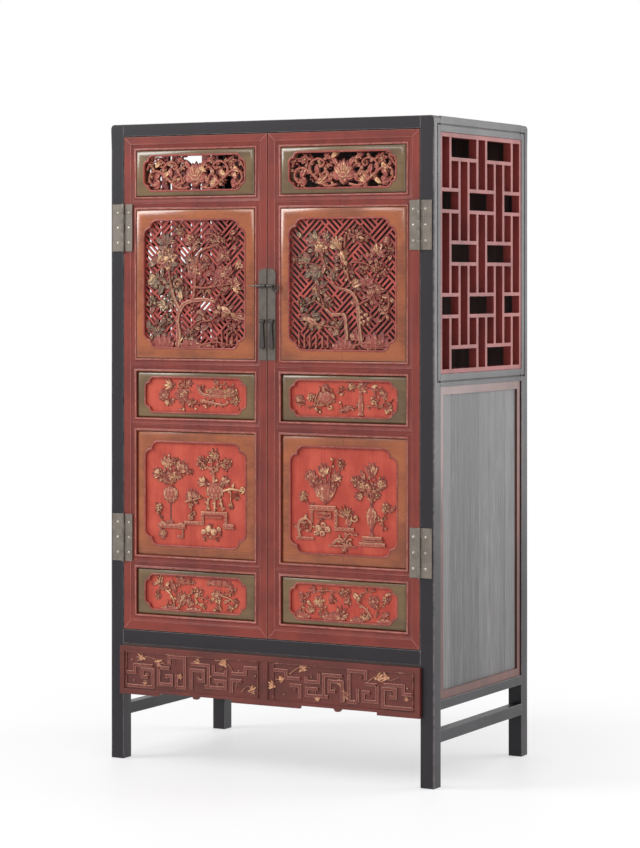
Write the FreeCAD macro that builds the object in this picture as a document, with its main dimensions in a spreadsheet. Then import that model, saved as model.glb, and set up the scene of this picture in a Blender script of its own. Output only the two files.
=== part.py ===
import FreeCAD, Part
import math
import os
import re

# Wedding cabinet of lacquered wood on four square posts, with two hinged doors
# of framed panels, latticed upper sides, plain lower sides and a carved apron.
# Millimetres, +Z up. The doors face -Y. The origin is on the floor under the
# middle of the whole cabinet, apron included.

doc = FreeCAD.newDocument("wedding_cabinet")
sheet = doc.addObject("Spreadsheet::Sheet", "Sizes")

CARCASS = {
    "cabinet_width": 1012.0,
    "cabinet_depth": 600.0,
    "cabinet_height": 1780.0,
    "post_size": 41.0,
    "post_round": 3.5,
    "top_rail_height": 34.0,
    "side_top_rail_height": 42.0,
    "door_sill_level": 364.0,
    "lower_rail_height": 39.0,
    "side_rail_depth": 30.0,
    "middle_rail_level": 1094.0,
    "middle_rail_height": 34.0,
    "side_lower_rail_level": 204.0,
    "side_lower_rail_height": 26.0,
    "stretcher_level": 118.0,
    "stretcher_height": 32.0,
    "tenon_length": 18.0,
    "tenon_thickness": 12.0,
    "tenon_shoulder": 6.0,
    "tenon_clearance": 0.1,
}

BOARDS = {
    "top_board_thickness": 12.0,
    "top_board_drop": 6.0,
    "back_board_thickness": 12.0,
    "back_board_inset": 13.0,
    "side_board_thickness": 10.0,
    "side_board_inset": 10.0,
    "tongue_depth": 8.0,
    "tongue_end_gap": 0.5,
    "side_moulding_width": 22.0,
    "side_moulding_thickness": 6.0,
    "floor_thickness": 16.0,
    "shelf_thickness": 16.0,
    "shelf_edge_gap": 1.0,
    "bearer_width": 24.0,
    "bearer_height": 20.0,
    "door_stop_height": 12.0,
    "door_stop_thickness": 10.0,
    "door_stop_gap": 0.5,
}

LATTICE = {
    "lattice_inset": 2.0,
    "lattice_depth": 23.0,
    "lattice_frame_width": 12.0,
    "lattice_bar_height": 10.0,
    "lattice_bar_width": 13.0,
    "lattice_cell_height": 58.0,
}

APRON = {
    "apron_thickness": 12.0,
    "apron_height": 126.0,
    "apron_gap": 6.0,
    "apron_overlap": 4.5,
    "apron_drop": 8.0,
    "apron_end_block": 128.0,
    "apron_middle_block": 214.0,
    "apron_pendant_place": 222.0,
    "apron_pendant_width": 24.0,
    "apron_border": 15.0,
    "apron_recess": 4.0,
    "apron_batten_height": 40.0,
    "apron_batten_depth": 22.0,
}

DOORS = {
    "door_gap": 2.0,
    "hinge_gap": 2.5,
    "meeting_gap": 3.0,
    "door_thickness": 30.0,
    "stile_width": 40.0,
    "door_top_rail": 39.0,
    "door_middle_rail": 38.0,
    "door_bottom_rail": 44.0,
    "small_panel_height": 128.0,
    "upper_panel_share": 0.544,
    "door_tenon_length": 26.0,
    "door_tenon_thickness": 10.0,
    "door_tenon_shoulder": 9.0,
    "panel_tongue": 8.0,
    "panel_tongue_thickness": 8.0,
    "panel_tongue_place": 11.0,
    "panel_field_gap": 1.0,
    "panel_bevel_width": 13.0,
    "panel_bevel_height": 6.0,
    "raised_panel_proud": 4.0,
    "sunk_panel_depth": 3.0,
    "window_side_border": 28.0,
    "small_window_border": 15.5,
    "large_window_border": 29.0,
    "small_window_corner": 14.0,
    "large_window_corner": 21.0,
    "openwork_drop": 6.0,
    "openwork_thickness": 10.0,
    "relief_ground_depth": 6.0,
    "fret_pitch": 12.4,
    "fret_bar": 6.4,
    "openwork_edge": 7.0,
    "scroll_pitch": 21.0,
    "scroll_hole_radius": 6.5,
    "scroll_small_share": 0.8,
    "scroll_wave": 17.0,
}

HARDWARE = {
    "hinge_height": 132.0,
    "upper_hinge_level": 1490.0,
    "lower_hinge_level": 622.0,
    "post_leaf_width": 35.0,
    "door_leaf_width": 28.0,
    "leaf_thickness": 2.5,
    "knuckle_radius": 4.2,
    "knuckle_stand": 0.4,
    "knuckle_gap": 0.4,
    "knuckle_tab_reach": 1.5,
    "leaf_clearance": 0.8,
    "hinge_pin_radius": 1.9,
    "running_clearance": 0.05,
    "hinge_cap_radius": 3.2,
    "hinge_cap_height": 2.0,
    "nail_head_radius": 4.0,
    "nail_head_height": 2.0,
    "nail_spacing": 42.0,
    "nail_offset": 18.0,
    "lock_plate_width": 25.0,
    "lock_plate_height": 250.0,
    "lock_plate_level": 1250.0,
    "lock_plate_thickness": 2.0,
    "lock_plate_round": 14.0,
    "bolt_level": 1328.0,
    "bolt_radius": 2.5,
    "bolt_tip_radius": 0.8,
    "bolt_tip_length": 20.0,
    "bolt_length": 53.0,
    "bolt_end_setback": 1.5,
    "bolt_stand": 7.0,
    "bolt_tube_radius": 4.5,
    "bolt_tube_setback": 1.0,
    "bolt_tube_length": 24.5,
    "bolt_foot_height": 6.0,
    "keeper_radius": 4.0,
    "keeper_length": 18.0,
    "keeper_bore_depth": 14.0,
    "keeper_clearance": 0.4,
    "curl_radius": 10.5,
    "curl_wire_radius": 2.2,
    "curl_reach": 8.0,
    "curl_drop": 5.0,
    "curl_sweep": 290.0,
    "curl_start": -130.0,
    "pull_level": 1232.0,
    "pull_length": 76.0,
    "pull_top_width": 6.0,
    "pull_bottom_width": 15.0,
    "pull_thickness": 3.5,
    "pull_stand": 6.0,
    "pull_barrel_radius": 3.4,
    "pull_barrel_length": 8.0,
    "pull_pin_radius": 1.5,
    "staple_cheek_width": 3.0,
    "staple_gap": 0.4,
    "staple_reach": 9.5,
    "staple_height": 9.0,
}

SIZES = {**CARCASS, **BOARDS, **LATTICE, **APRON, **DOORS, **HARDWARE}

for line, (alias, number) in enumerate(SIZES.items(), start=1):
    sheet.set(f"A{line}", alias)
    sheet.set(f"B{line}", str(number))
    sheet.setAlias(f"B{line}", alias)
doc.recompute()

LATTICE_COLUMNS = 9
LATTICE_WIDE_ROWS = 5
KNUCKLES = 5
NAILS = 3
SIDES = ("left", "right")
ROWS = ("front", "rear")

# Places that many pieces share, as formulas in the named sizes.
HALF = "cabinet_width / 2"
INSIDE = "(cabinet_width / 2 - post_size)"
FRONT = "((apron_thickness - cabinet_depth) / 2)"
BACK = "((apron_thickness + cabinet_depth) / 2)"
CLEAR_FRONT = f"({FRONT} + post_size)"
CLEAR_BACK = f"({BACK} - post_size)"
RAIL_INNER = "(cabinet_width / 2 - side_rail_depth)"
TOP_RAIL_UNDER = "(cabinet_height - top_rail_height)"
SIDE_TOP_UNDER = "(cabinet_height - side_top_rail_height)"
MIDDLE_UNDER = "(middle_rail_level - middle_rail_height)"
LOWER_UNDER = "(door_sill_level - lower_rail_height)"
SIDE_LOWER_TOP = "(side_lower_rail_level + side_lower_rail_height)"
DOOR_BOTTOM = "(door_sill_level + door_gap)"
DOOR_TOP = f"({TOP_RAIL_UNDER} - door_gap)"
DOOR_EDGE = f"({INSIDE} - hinge_gap)"
MEETING_EDGE = "(meeting_gap / 2)"
OPENING_NEAR = f"({MEETING_EDGE} + stile_width)"
OPENING_FAR = f"({DOOR_EDGE} - stile_width)"
HINGE_AXIS = f"({INSIDE} - hinge_gap / 2)"
HINGE_DEPTH = f"({FRONT} - knuckle_radius - knuckle_stand)"

words = re.compile(r"[a-z_]\w*")
parts = {}
sockets = {(side, row): [] for side in SIDES for row in ROWS}


def bound(text):
    """The formula with every size's name pointing at its cell."""

    def cell(found):
        word = found.group(0)
        return f"Sizes.{word}" if word in SIZES else word

    return words.sub(cell, text)


def size(alias):
    """The number that a size has in the sheet."""
    return float(sheet.get(alias))


def keep(label, piece):
    """Name a finished piece as one of the cabinet's sub-parts."""
    piece.Label = label
    parts[label] = piece
    return piece


def across(side, near, far):
    """Start and end in X of what lies between two distances from the middle."""
    if side == "left":
        return f"-({far})", f"-({near})"
    return near, far


def loose(span):
    """The span opened by the tenon's clearance at both ends."""
    return f"{span[0]} - tenon_clearance", f"{span[1]} + tenon_clearance"


def place(piece, x, y, z):
    """Bind a piece's place to the sizes."""
    for axis, text in zip("xyz", (x, y, z)):
        piece.setExpression(f".Placement.Base.{axis}", bound(text))


def block(name, x, y, z):
    """A rectangular solid between a start and an end on each axis."""
    piece = doc.addObject("Part::Box", name)
    for side, span in zip(("Length", "Width", "Height"), (x, y, z)):
        piece.setExpression(side, bound(f"({span[1]}) - ({span[0]})"))
    place(piece, x[0], y[0], z[0])
    return piece


def rod(name, radius, length, x, y, z, turn=None):
    """A round bar, upright unless it is turned."""
    piece = doc.addObject("Part::Cylinder", name)
    if turn:
        piece.Placement.Rotation = turn
    piece.setExpression("Radius", bound(radius))
    piece.setExpression("Height", bound(length))
    place(piece, x, y, z)
    return piece


def fuse(name, pieces):
    """One solid from overlapping pieces."""
    whole = doc.addObject("Part::MultiFuse", name)
    whole.Shapes = pieces
    whole.Refine = True
    return whole


def cut(name, base, tools):
    """The base less its tools."""
    cutter = tools[0] if len(tools) == 1 else fuse(f"{name}_cutters", tools)
    whole = doc.addObject("Part::Cut", name)
    whole.Base = base
    whole.Tool = cutter
    return whole


def group(name, pieces):
    """Separate solids kept as one sub-part."""
    whole = doc.addObject("Part::Compound", name)
    whole.Links = pieces
    return whole


ALONG_X = FreeCAD.Rotation(FreeCAD.Vector(0, 1, 0), 90)
TO_FRONT = FreeCAD.Rotation(FreeCAD.Vector(1, 0, 0), 90)


# Boards first, because the posts and rails are grooved for them.

def grooved(name, x, y, z, thin):
    """A board and the cutter of its groove, longer by the end gap except through its thickness."""
    board = block(f"{name}_board", x, y, z)
    spans = []
    for axis, (low, high) in zip("xyz", (x, y, z)):
        if axis == thin:
            spans.append((low, high))
        else:
            spans.append((f"{low} - tongue_end_gap", f"{high} + tongue_end_gap"))
    return board, block(f"{name}_groove", *spans)


top_level = "cabinet_height - top_board_drop"
top_board, top_groove = grooved(
    "top",
    (f"-({RAIL_INNER} + tongue_depth)", f"{RAIL_INNER} + tongue_depth"),
    (f"{CLEAR_FRONT} - tongue_depth", f"{CLEAR_BACK} + tongue_depth"),
    (f"{top_level} - top_board_thickness", top_level),
    "z",
)
keep("top_board", top_board)

back_depth = (f"{BACK} - back_board_inset - back_board_thickness", f"{BACK} - back_board_inset")
back_boards = []
back_grooves = []
for name, low, high in (
    ("back_upper", "middle_rail_level", TOP_RAIL_UNDER),
    ("back_lower", "door_sill_level", MIDDLE_UNDER),
):
    board, groove = grooved(
        name,
        (f"-({INSIDE} + tongue_depth)", f"{INSIDE} + tongue_depth"),
        back_depth,
        (f"{low} - tongue_depth", f"{high} + tongue_depth"),
        "y",
    )
    back_boards.append(board)
    back_grooves.append(groove)
keep("back_boards", group("back_boards", back_boards))

side_grooves = {}
side_face = f"({HALF} - side_board_inset)"
moulding_pieces = []
for side in SIDES:
    board, groove = grooved(
        f"{side}_side",
        across(side, f"{side_face} - side_board_thickness", side_face),
        (f"{CLEAR_FRONT} - tongue_depth", f"{CLEAR_BACK} + tongue_depth"),
        (f"{SIDE_LOWER_TOP} - tongue_depth", f"{MIDDLE_UNDER} + tongue_depth"),
        "x",
    )
    keep(f"{side}_side_board", board)
    side_grooves[side] = groove
    x = across(side, side_face, f"{side_face} + side_moulding_thickness")
    front_run = (CLEAR_FRONT, f"{CLEAR_FRONT} + side_moulding_width")
    rear_run = (f"{CLEAR_BACK} - side_moulding_width", CLEAR_BACK)
    lower_run = (SIDE_LOWER_TOP, f"({SIDE_LOWER_TOP} + side_moulding_width)")
    upper_run = (f"({MIDDLE_UNDER} - side_moulding_width)", MIDDLE_UNDER)
    between = (lower_run[1], upper_run[0])
    for name, y, z in (
        ("lower", (CLEAR_FRONT, CLEAR_BACK), lower_run),
        ("upper", (CLEAR_FRONT, CLEAR_BACK), upper_run),
        ("front", front_run, between),
        ("rear", rear_run, between),
    ):
        moulding_pieces.append(block(f"{side}_{name}_moulding", x, y, z))
keep("side_mouldings", group("side_mouldings", moulding_pieces))


# Rails and stretchers, each with a tenon at both ends.

def crosswise_rail(label, row, y, z, slots):
    """A rail from the left post to the right post."""
    pieces = [block(f"{label}_bar", (f"-{INSIDE}", INSIDE), y, z)]
    middle = f"({y[0]} + {y[1]}) / 2"
    cheeks = (f"{middle} - tenon_thickness / 2", f"{middle} + tenon_thickness / 2")
    height = (f"{z[0]} + tenon_shoulder", f"{z[1]} - tenon_shoulder")
    for side in SIDES:
        x = across(side, INSIDE, f"{INSIDE} + tenon_length")
        pieces.append(block(f"{label}_{side}_tenon", x, cheeks, height))
        sockets[side, row].append(block(f"{label}_{side}_mortise", loose(x), loose(cheeks), loose(height)))
    whole = fuse(f"{label}_fused", pieces)
    keep(label, cut(label, whole, slots) if slots else whole)


def side_rail(label, side, depth, z, slots):
    """A rail from the front post to the rear post of one side."""
    x = across(side, f"{HALF} - {depth}", HALF)
    pieces = [block(f"{label}_bar", x, (CLEAR_FRONT, CLEAR_BACK), z)]
    cheeks = across(
        side,
        f"{HALF} - side_rail_depth / 2 - tenon_thickness / 2",
        f"{HALF} - side_rail_depth / 2 + tenon_thickness / 2",
    )
    height = (f"{z[0]} + tenon_shoulder", f"{z[1]} - tenon_shoulder")
    for row, y in (
        ("front", (f"{CLEAR_FRONT} - tenon_length", CLEAR_FRONT)),
        ("rear", (CLEAR_BACK, f"{CLEAR_BACK} + tenon_length")),
    ):
        pieces.append(block(f"{label}_{row}_tenon", cheeks, y, height))
        sockets[side, row].append(block(f"{label}_{row}_mortise", loose(cheeks), loose(y), loose(height)))
    whole = fuse(f"{label}_fused", pieces)
    keep(label, cut(label, whole, slots) if slots else whole)


top_rails = (TOP_RAIL_UNDER, "cabinet_height")
lower_rails = (LOWER_UNDER, "door_sill_level")
middle_rails = (MIDDLE_UNDER, "middle_rail_level")
side_lower_rails = ("side_lower_rail_level", SIDE_LOWER_TOP)
stretchers = ("stretcher_level", "stretcher_level + stretcher_height")
front_depth = (FRONT, CLEAR_FRONT)
thin_rear_depth = (f"{BACK} - side_rail_depth", BACK)

crosswise_rail("front_top_rail", "front", front_depth, top_rails, [top_groove])
crosswise_rail("rear_top_rail", "rear", (CLEAR_BACK, BACK), top_rails, [top_groove, back_grooves[0]])
crosswise_rail("front_lower_rail", "front", front_depth, lower_rails, [])
crosswise_rail("rear_lower_rail", "rear", thin_rear_depth, lower_rails, [back_grooves[1]])
crosswise_rail("rear_middle_rail", "rear", thin_rear_depth, middle_rails, back_grooves)
for side in SIDES:
    side_rail(f"{side}_top_rail", side, "side_rail_depth", (SIDE_TOP_UNDER, "cabinet_height"), [top_groove])
    side_rail(f"{side}_middle_rail", side, "side_rail_depth", middle_rails, [side_grooves[side]])
    side_rail(f"{side}_lower_rail", side, "side_rail_depth", side_lower_rails, [side_grooves[side]])
    side_rail(f"{side}_stretcher", side, "side_rail_depth", stretchers, [])


# Posts, rounded on the outer arris and cut for every tenon and board.

for side in SIDES:
    for row in ROWS:
        label = f"{side}_{row}_post"
        x = across(side, INSIDE, HALF)
        y = (FRONT, CLEAR_FRONT) if row == "front" else (CLEAR_BACK, BACK)
        arris_x = across(side, f"{HALF} - post_round", HALF)
        arris_y = (FRONT, f"{FRONT} + post_round") if row == "front" else (f"{BACK} - post_round", BACK)
        arris = block(f"{label}_arris", arris_x, arris_y, ("0", "cabinet_height"))
        centre_x = f"{HALF} - post_round" if side == "right" else f"post_round - {HALF}"
        centre_y = arris_y[1] if row == "front" else arris_y[0]
        turned = rod(f"{label}_turned", "post_round", "cabinet_height", centre_x, centre_y, "0")
        cutters = [cut(f"{label}_shaving", arris, [turned]), top_groove, side_grooves[side]]
        if row == "rear":
            cutters += back_grooves
        blank = block(f"{label}_blank", x, y, ("0", "cabinet_height"))
        keep(label, cut(label, blank, cutters + sockets[side, row]))


# Floor, shelf, their bearers and the strips that stop the doors.

shelf_edge = f"({INSIDE} - shelf_edge_gap)"
full_width = (f"-{shelf_edge}", shelf_edge)
floor_under = "(door_sill_level - floor_thickness)"
floor_depth = (f"{CLEAR_FRONT} + shelf_edge_gap", f"{BACK} - side_rail_depth - shelf_edge_gap")
floor_span = (floor_under, "door_sill_level")
keep("floor_board", block("floor_board", full_width, floor_depth, floor_span))
shelf_depth = (f"{CLEAR_FRONT} + shelf_edge_gap", f"{CLEAR_BACK} - shelf_edge_gap")
shelf_span = (MIDDLE_UNDER, f"{MIDDLE_UNDER} + shelf_thickness")
keep("shelf_board", block("shelf_board", full_width, shelf_depth, shelf_span))

bearers = []
for side in SIDES:
    bearers.append(block(
        f"{side}_floor_bearer",
        across(side, f"{shelf_edge} - bearer_width", shelf_edge),
        (CLEAR_FRONT, f"{BACK} - side_rail_depth"),
        (f"{floor_under} - bearer_height", floor_under),
    ))
    bearers.append(block(
        f"{side}_shelf_bearer",
        across(side, f"{RAIL_INNER} - bearer_width", RAIL_INNER),
        shelf_depth,
        (f"{MIDDLE_UNDER} - bearer_height", MIDDLE_UNDER),
    ))
keep("shelf_and_floor_bearers", group("shelf_and_floor_bearers", bearers))

stop_face = f"({FRONT} + door_thickness + door_stop_gap)"
stop_depth = (stop_face, f"{stop_face} + door_stop_thickness")
stops = [
    block("upper_stop", full_width, stop_depth, (f"{TOP_RAIL_UNDER} - door_stop_height", TOP_RAIL_UNDER)),
    block("lower_stop", full_width, stop_depth, ("door_sill_level", "door_sill_level + door_stop_height")),
]
keep("door_stops", group("door_stops", stops))


# Side lattices. Every row of wide cells sits half a pattern off its neighbour.

lattice_start = f"({CLEAR_FRONT} + lattice_frame_width / 2)"
lattice_step = f"(cabinet_depth - 2 * post_size - lattice_frame_width) / {LATTICE_COLUMNS}"
lattice_low = "(middle_rail_level + lattice_frame_width)"
lattice_high = f"({SIDE_TOP_UNDER} - lattice_frame_width)"
row_gap = (
    f"(({lattice_high} - {lattice_low} - {LATTICE_WIDE_ROWS} * lattice_cell_height)"
    f" / {LATTICE_WIDE_ROWS - 1})"
)
WIDE_CELLS = {"outer": ((1, 4), (5, 8)), "inner": ((0, 2), (3, 6), (7, 9))}
LONG_LINES = {"outer": (2, 3, 6, 7), "inner": (1, 4, 5, 8)}


def column(number):
    """The middle of a lattice line, counted from the front."""
    return f"({lattice_start} + {number} * {lattice_step})"


def row_edges(number):
    """The lower and upper edge of a row of wide cells, counted from the bottom."""
    low = f"({lattice_low} + {number} * (lattice_cell_height + {row_gap}))"
    return low, f"({low} + lattice_cell_height)"


def lattice(side):
    """The openwork of one side: a frame, level bars and short upright bars."""
    x = across(side, f"{HALF} - lattice_inset - lattice_depth", f"{HALF} - lattice_inset")
    whole_depth = (CLEAR_FRONT, CLEAR_BACK)
    whole_height = ("middle_rail_level", SIDE_TOP_UNDER)
    front_run = (CLEAR_FRONT, f"{CLEAR_FRONT} + lattice_frame_width")
    rear_run = (f"{CLEAR_BACK} - lattice_frame_width", CLEAR_BACK)
    bars = [
        block(f"{side}_lattice_foot", x, whole_depth, (whole_height[0], lattice_low)),
        block(f"{side}_lattice_head", x, whole_depth, (lattice_high, whole_height[1])),
        block(f"{side}_lattice_front", x, front_run, whole_height),
        block(f"{side}_lattice_rear", x, rear_run, whole_height),
    ]
    for number in range(LATTICE_WIDE_ROWS):
        kind = "outer" if number % 2 == 0 else "inner"
        low, high = row_edges(number)
        edges = []
        if number > 0:
            edges.append(("low", low))
        if number < LATTICE_WIDE_ROWS - 1:
            edges.append(("high", high))
        for edge, middle in edges:
            z = (f"{middle} - lattice_bar_height / 2", f"{middle} + lattice_bar_height / 2")
            for first, last in WIDE_CELLS[kind]:
                y = (column(first), column(last))
                bars.append(block(f"{side}_level_{number}_{edge}_{first}", x, y, z))
    for kind, lines in LONG_LINES.items():
        rows = [number for number in range(LATTICE_WIDE_ROWS) if (number % 2 == 0) == (kind == "outer")]
        edges = [edge for number in rows for edge in row_edges(number)]
        if kind == "outer":
            edges = edges[1:-1]
        else:
            edges = [lattice_low] + edges + [lattice_high]
        for line in lines:
            y = (f"{column(line)} - lattice_bar_width / 2", f"{column(line)} + lattice_bar_width / 2")
            for number in range(0, len(edges), 2):
                z = (edges[number], edges[number + 1])
                bars.append(block(f"{side}_upright_{kind}_{line}_{number}", x, y, z))
    keep(f"{side}_lattice", fuse(f"{side}_lattice", bars))


for side in SIDES:
    lattice(side)


# Flat outlines. Each is a list of edges in the plane of the doors.

def point(x, z):
    """A point of an outline."""
    return FreeCAD.Vector(x, z, 0)


def closed(points):
    """Straight edges round a list of points."""
    return [Part.LineSegment(a, b) for a, b in zip(points, points[1:] + points[:1])]


def window_outline(left, low, right, high, corner):
    """A window whose corners are each cut in by two round shoulders that meet in a notch."""
    reach = corner * math.sqrt(0.5)
    edges = []
    turns = ((right, low, -1, 1), (right, high, -1, -1), (left, high, 1, -1), (left, low, 1, 1))
    marks = []
    for x, z, along, up in turns:
        level = point(x + along * 2 * corner, z)
        level_shoulder = point(x + along * (2 * corner - reach), z + up * (corner - reach))
        notch = point(x + along * corner, z + up * corner)
        upright_shoulder = point(x + along * (corner - reach), z + up * (2 * corner - reach))
        upright = point(x, z + up * 2 * corner)
        run = [level, level_shoulder, notch, upright_shoulder, upright]
        marks.append(run if (along < 0) == (up > 0) else run[::-1])
    for number, (first, first_shoulder, notch, last_shoulder, last) in enumerate(marks):
        edges.append(Part.LineSegment(marks[number - 1][-1], first))
        edges.append(Part.Arc(first, first_shoulder, notch))
        edges.append(Part.Arc(notch, last_shoulder, last))
    return edges


def plane_of(body, role):
    """One of a body's own origin planes."""
    return next(item for item in body.Origin.OriginFeatures if item.Role == role)


def sketch_on(body, name, edges, lift="0"):
    """A sketch of the edges in the XZ plane of a body, lifted towards the front."""
    sketch = body.newObject("Sketcher::SketchObject", name)
    sketch.AttachmentSupport = [(plane_of(body, "XZ_Plane"), "")]
    sketch.MapMode = "FlatFace"
    sketch.setExpression(".AttachmentOffset.Base.z", bound(lift))
    sketch.addGeometry(edges, False)
    return sketch


def pad(body, name, sketch, length, taper=None):
    """Raise a sketch towards the front."""
    feature = body.newObject("PartDesign::Pad", name)
    feature.Profile = sketch
    feature.setExpression("Length", bound(length))
    if taper:
        feature.setExpression("TaperAngle", bound(f"-({taper})"))
    return feature


def pocket(body, name, sketch, depth):
    """Sink a sketch back into the body, or cut right through it when no depth is given."""
    feature = body.newObject("PartDesign::Pocket", name)
    feature.Profile = sketch
    if depth:
        feature.setExpression("Length", bound(depth))
    else:
        feature.Type = "ThroughAll"
        feature.Midplane = True
    return feature


def rectangle_corners(left, low, right, high):
    """The four corners of a rectangle, in order."""
    return [point(left, low), point(right, low), point(right, high), point(left, high)]


def rectangle(left, low, right, high):
    """A plain rectangle of edges."""
    return closed(rectangle_corners(left, low, right, high))


# Apron: a front board with a shaped lower edge and two sunk fields.

apron_foot = f"({LOWER_UNDER} - apron_gap - apron_height)"
apron_half = size("cabinet_width") / 2 - size("post_size") + size("apron_overlap")


def apron_outline():
    """The apron's front, from its middle at the level of its lower edge."""
    half = apron_half
    drop = size("apron_drop")
    pendant = size("apron_pendant_width") / 2
    lower_edge = [
        (half, -drop),
        (half - size("apron_end_block"), -drop),
        (half - size("apron_end_block"), 0),
        (size("apron_pendant_place") + pendant, 0),
        (size("apron_pendant_place") + pendant / 2, -drop),
        (size("apron_pendant_place") - pendant / 2, -drop),
        (size("apron_pendant_place") - pendant, 0),
        (size("apron_middle_block") / 2, 0),
        (size("apron_middle_block") / 2, -drop),
    ]
    right_half = [point(half, size("apron_height"))] + [point(x, z) for x, z in lower_edge]
    left_half = [point(-p.x, p.y) for p in reversed(right_half)]
    return closed(right_half + left_half)


apron = doc.addObject("PartDesign::Body", "apron")
place(apron, "0", FRONT, apron_foot)
pad(apron, "apron_slab", sketch_on(apron, "apron_edge", apron_outline()), "apron_thickness")
for side in SIDES:
    border = size("apron_border")
    near, far = border / 2, apron_half - border
    left, right = (near, far) if side == "right" else (-far, -near)
    field = rectangle(left, border / 2, right, size("apron_height") - border)
    sunk = sketch_on(apron, f"apron_{side}_field", field, "apron_thickness")
    pocket(apron, f"apron_{side}_sunk", sunk, "apron_recess")
keep("apron", apron)
keep("apron_batten", block(
    "apron_batten",
    (f"-{INSIDE}", INSIDE),
    (FRONT, f"{FRONT} + apron_batten_depth"),
    (f"{LOWER_UNDER} - apron_batten_height", LOWER_UNDER),
))


# Doors: two stiles, six rails and five panels each.

MIDDLE_RAILS = 4
SMALL_PANELS = ("foot_panel", "waist_panel", "head_panel")
LARGE_PANELS = ("lower_panel", "upper_panel")
OPEN_PANELS = ("upper_panel", "head_panel")

large_room = (
    f"({DOOR_TOP} - {DOOR_BOTTOM} - door_top_rail - {MIDDLE_RAILS} * door_middle_rail"
    f" - door_bottom_rail - {len(SMALL_PANELS)} * small_panel_height)"
)
level = f"({DOOR_BOTTOM} + door_bottom_rail)"
OPENINGS = {}
for name, height in (
    ("foot_panel", "small_panel_height"),
    ("lower_panel", f"({large_room} * (1 - upper_panel_share))"),
    ("waist_panel", "small_panel_height"),
    ("upper_panel", f"({large_room} * upper_panel_share)"),
    ("head_panel", "small_panel_height"),
):
    OPENINGS[name] = (level, height)
    level = f"({level} + {height} + door_middle_rail)"

# The same heights and the panels' width as numbers, for the outlines.
doorway_height = size("cabinet_height") - size("top_rail_height") - size("door_sill_level")
door_height = doorway_height - 2 * size("door_gap")
rails_height = size("door_top_rail") + MIDDLE_RAILS * size("door_middle_rail") + size("door_bottom_rail")
large_height = door_height - rails_height - len(SMALL_PANELS) * size("small_panel_height")
PANEL_HEIGHTS = {name: size("small_panel_height") for name in SMALL_PANELS}
PANEL_HEIGHTS["lower_panel"] = large_height * (1 - size("upper_panel_share"))
PANEL_HEIGHTS["upper_panel"] = large_height * size("upper_panel_share")
PANEL_WIDTH = (
    size("cabinet_width") / 2 - size("post_size") - size("hinge_gap")
    - size("meeting_gap") / 2 - 2 * size("stile_width")
)
tongue_depth_span = (
    f"{FRONT} + panel_tongue_place",
    f"{FRONT} + panel_tongue_place + panel_tongue_thickness",
)


def window_of(name):
    """The window's edges in a panel whose opening has its lower left corner at the origin."""
    large = name in LARGE_PANELS
    side = size("window_side_border")
    border = size("large_window_border") if large else size("small_window_border")
    corner = size("large_window_corner") if large else size("small_window_corner")
    return (side, border, PANEL_WIDTH - side, PANEL_HEIGHTS[name] - border, corner)


FRET_SLOTS = (-1, 0, 1)


def fret_holes(inner):
    """Slots of a diagonal fret, laid as a herringbone of blocks twice as long as wide.

    In the blocks that lean right all three slots are whole. In those that lean left
    the middle slot is whole and the outer two are halved.
    """
    pitch = size("fret_pitch")
    slot = pitch - size("fret_bar")
    block_side = len(FRET_SLOTS) * pitch
    whole_length = 2 * block_side - size("fret_bar")
    half_length = block_side - size("fret_bar")
    slots = []
    reach = int((PANEL_WIDTH + PANEL_HEIGHTS["upper_panel"]) / block_side / 2) + 1
    for column_number in range(-reach, reach + 1):
        for row_number in range(-reach, reach + 1):
            x = column_number * block_side
            z = row_number * block_side
            turn = (column_number - row_number) % 4
            for shift in (number * pitch for number in FRET_SLOTS):
                if turn == 0:
                    slots.append((x + block_side, z + block_side / 2 + shift, whole_length, slot))
                elif turn == 3 and shift == 0:
                    slots.append((x + block_side / 2, z + block_side, slot, whole_length))
                elif turn == 3:
                    slots.append((x + block_side / 2 + shift, z + block_side / 2, slot, half_length))
                    slots.append((x + block_side / 2 + shift, z + block_side * 3 / 2, slot, half_length))
    middle = point(PANEL_WIDTH / 2, PANEL_HEIGHTS["upper_panel"] / 2)
    diagonal = FreeCAD.Rotation(FreeCAD.Vector(0, 0, 1), 45)
    faces = []
    for x, z, wide, high in slots:
        corners = rectangle_corners(x - wide / 2, z - high / 2, x + wide / 2, z + high / 2)
        turned = [middle + diagonal.multVec(corner) for corner in corners]
        if min((corner - middle).Length for corner in turned) < PANEL_WIDTH:
            faces.append(Part.Face(Part.makePolygon(turned + turned[:1])))
    return Part.makeCompound(faces).common(inner)


def scroll_holes(inner):
    """Round holes above and below a waving stem, as scrollwork leaves them."""
    pitch = size("scroll_pitch")
    count = int(PANEL_WIDTH / pitch / 2)
    middle_z = PANEL_HEIGHTS["head_panel"] / 2
    faces = []
    for number in range(-count, count + 1):
        rise = size("scroll_hole_radius") / 2 * math.cos(math.pi * number)
        radius = size("scroll_hole_radius") * (size("scroll_small_share") if number % 2 else 1)
        for above in (-1, 1):
            centre = point(PANEL_WIDTH / 2 + number * pitch, middle_z + above * size("scroll_wave") + rise)
            faces.append(Part.Face(Part.Wire(Part.makeCircle(radius, centre))))
    return Part.makeCompound(faces).common(inner)


def face_within(edges):
    """The flat face that a closed run of edges encloses."""
    return Part.Face(Part.Wire([edge.toShape() for edge in edges]))


def openwork(name, panel):
    """The pierced board that fills a window."""
    left, low, right, high, corner = window_of(panel)
    edge = size("openwork_edge")
    whole = face_within(window_outline(left, low, right, high, corner))
    inner = face_within(window_outline(left + edge, low + edge, right - edge, high - edge, corner))
    holes = fret_holes(inner) if panel == "upper_panel" else scroll_holes(inner)
    pierced = whole.cut(holes)
    pierced.rotate(FreeCAD.Vector(0, 0, 0), FreeCAD.Vector(1, 0, 0), 90)
    board = doc.addObject("Part::Feature", name)
    board.Shape = pierced.extrude(FreeCAD.Vector(0, size("openwork_thickness"), 0))
    return board


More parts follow.
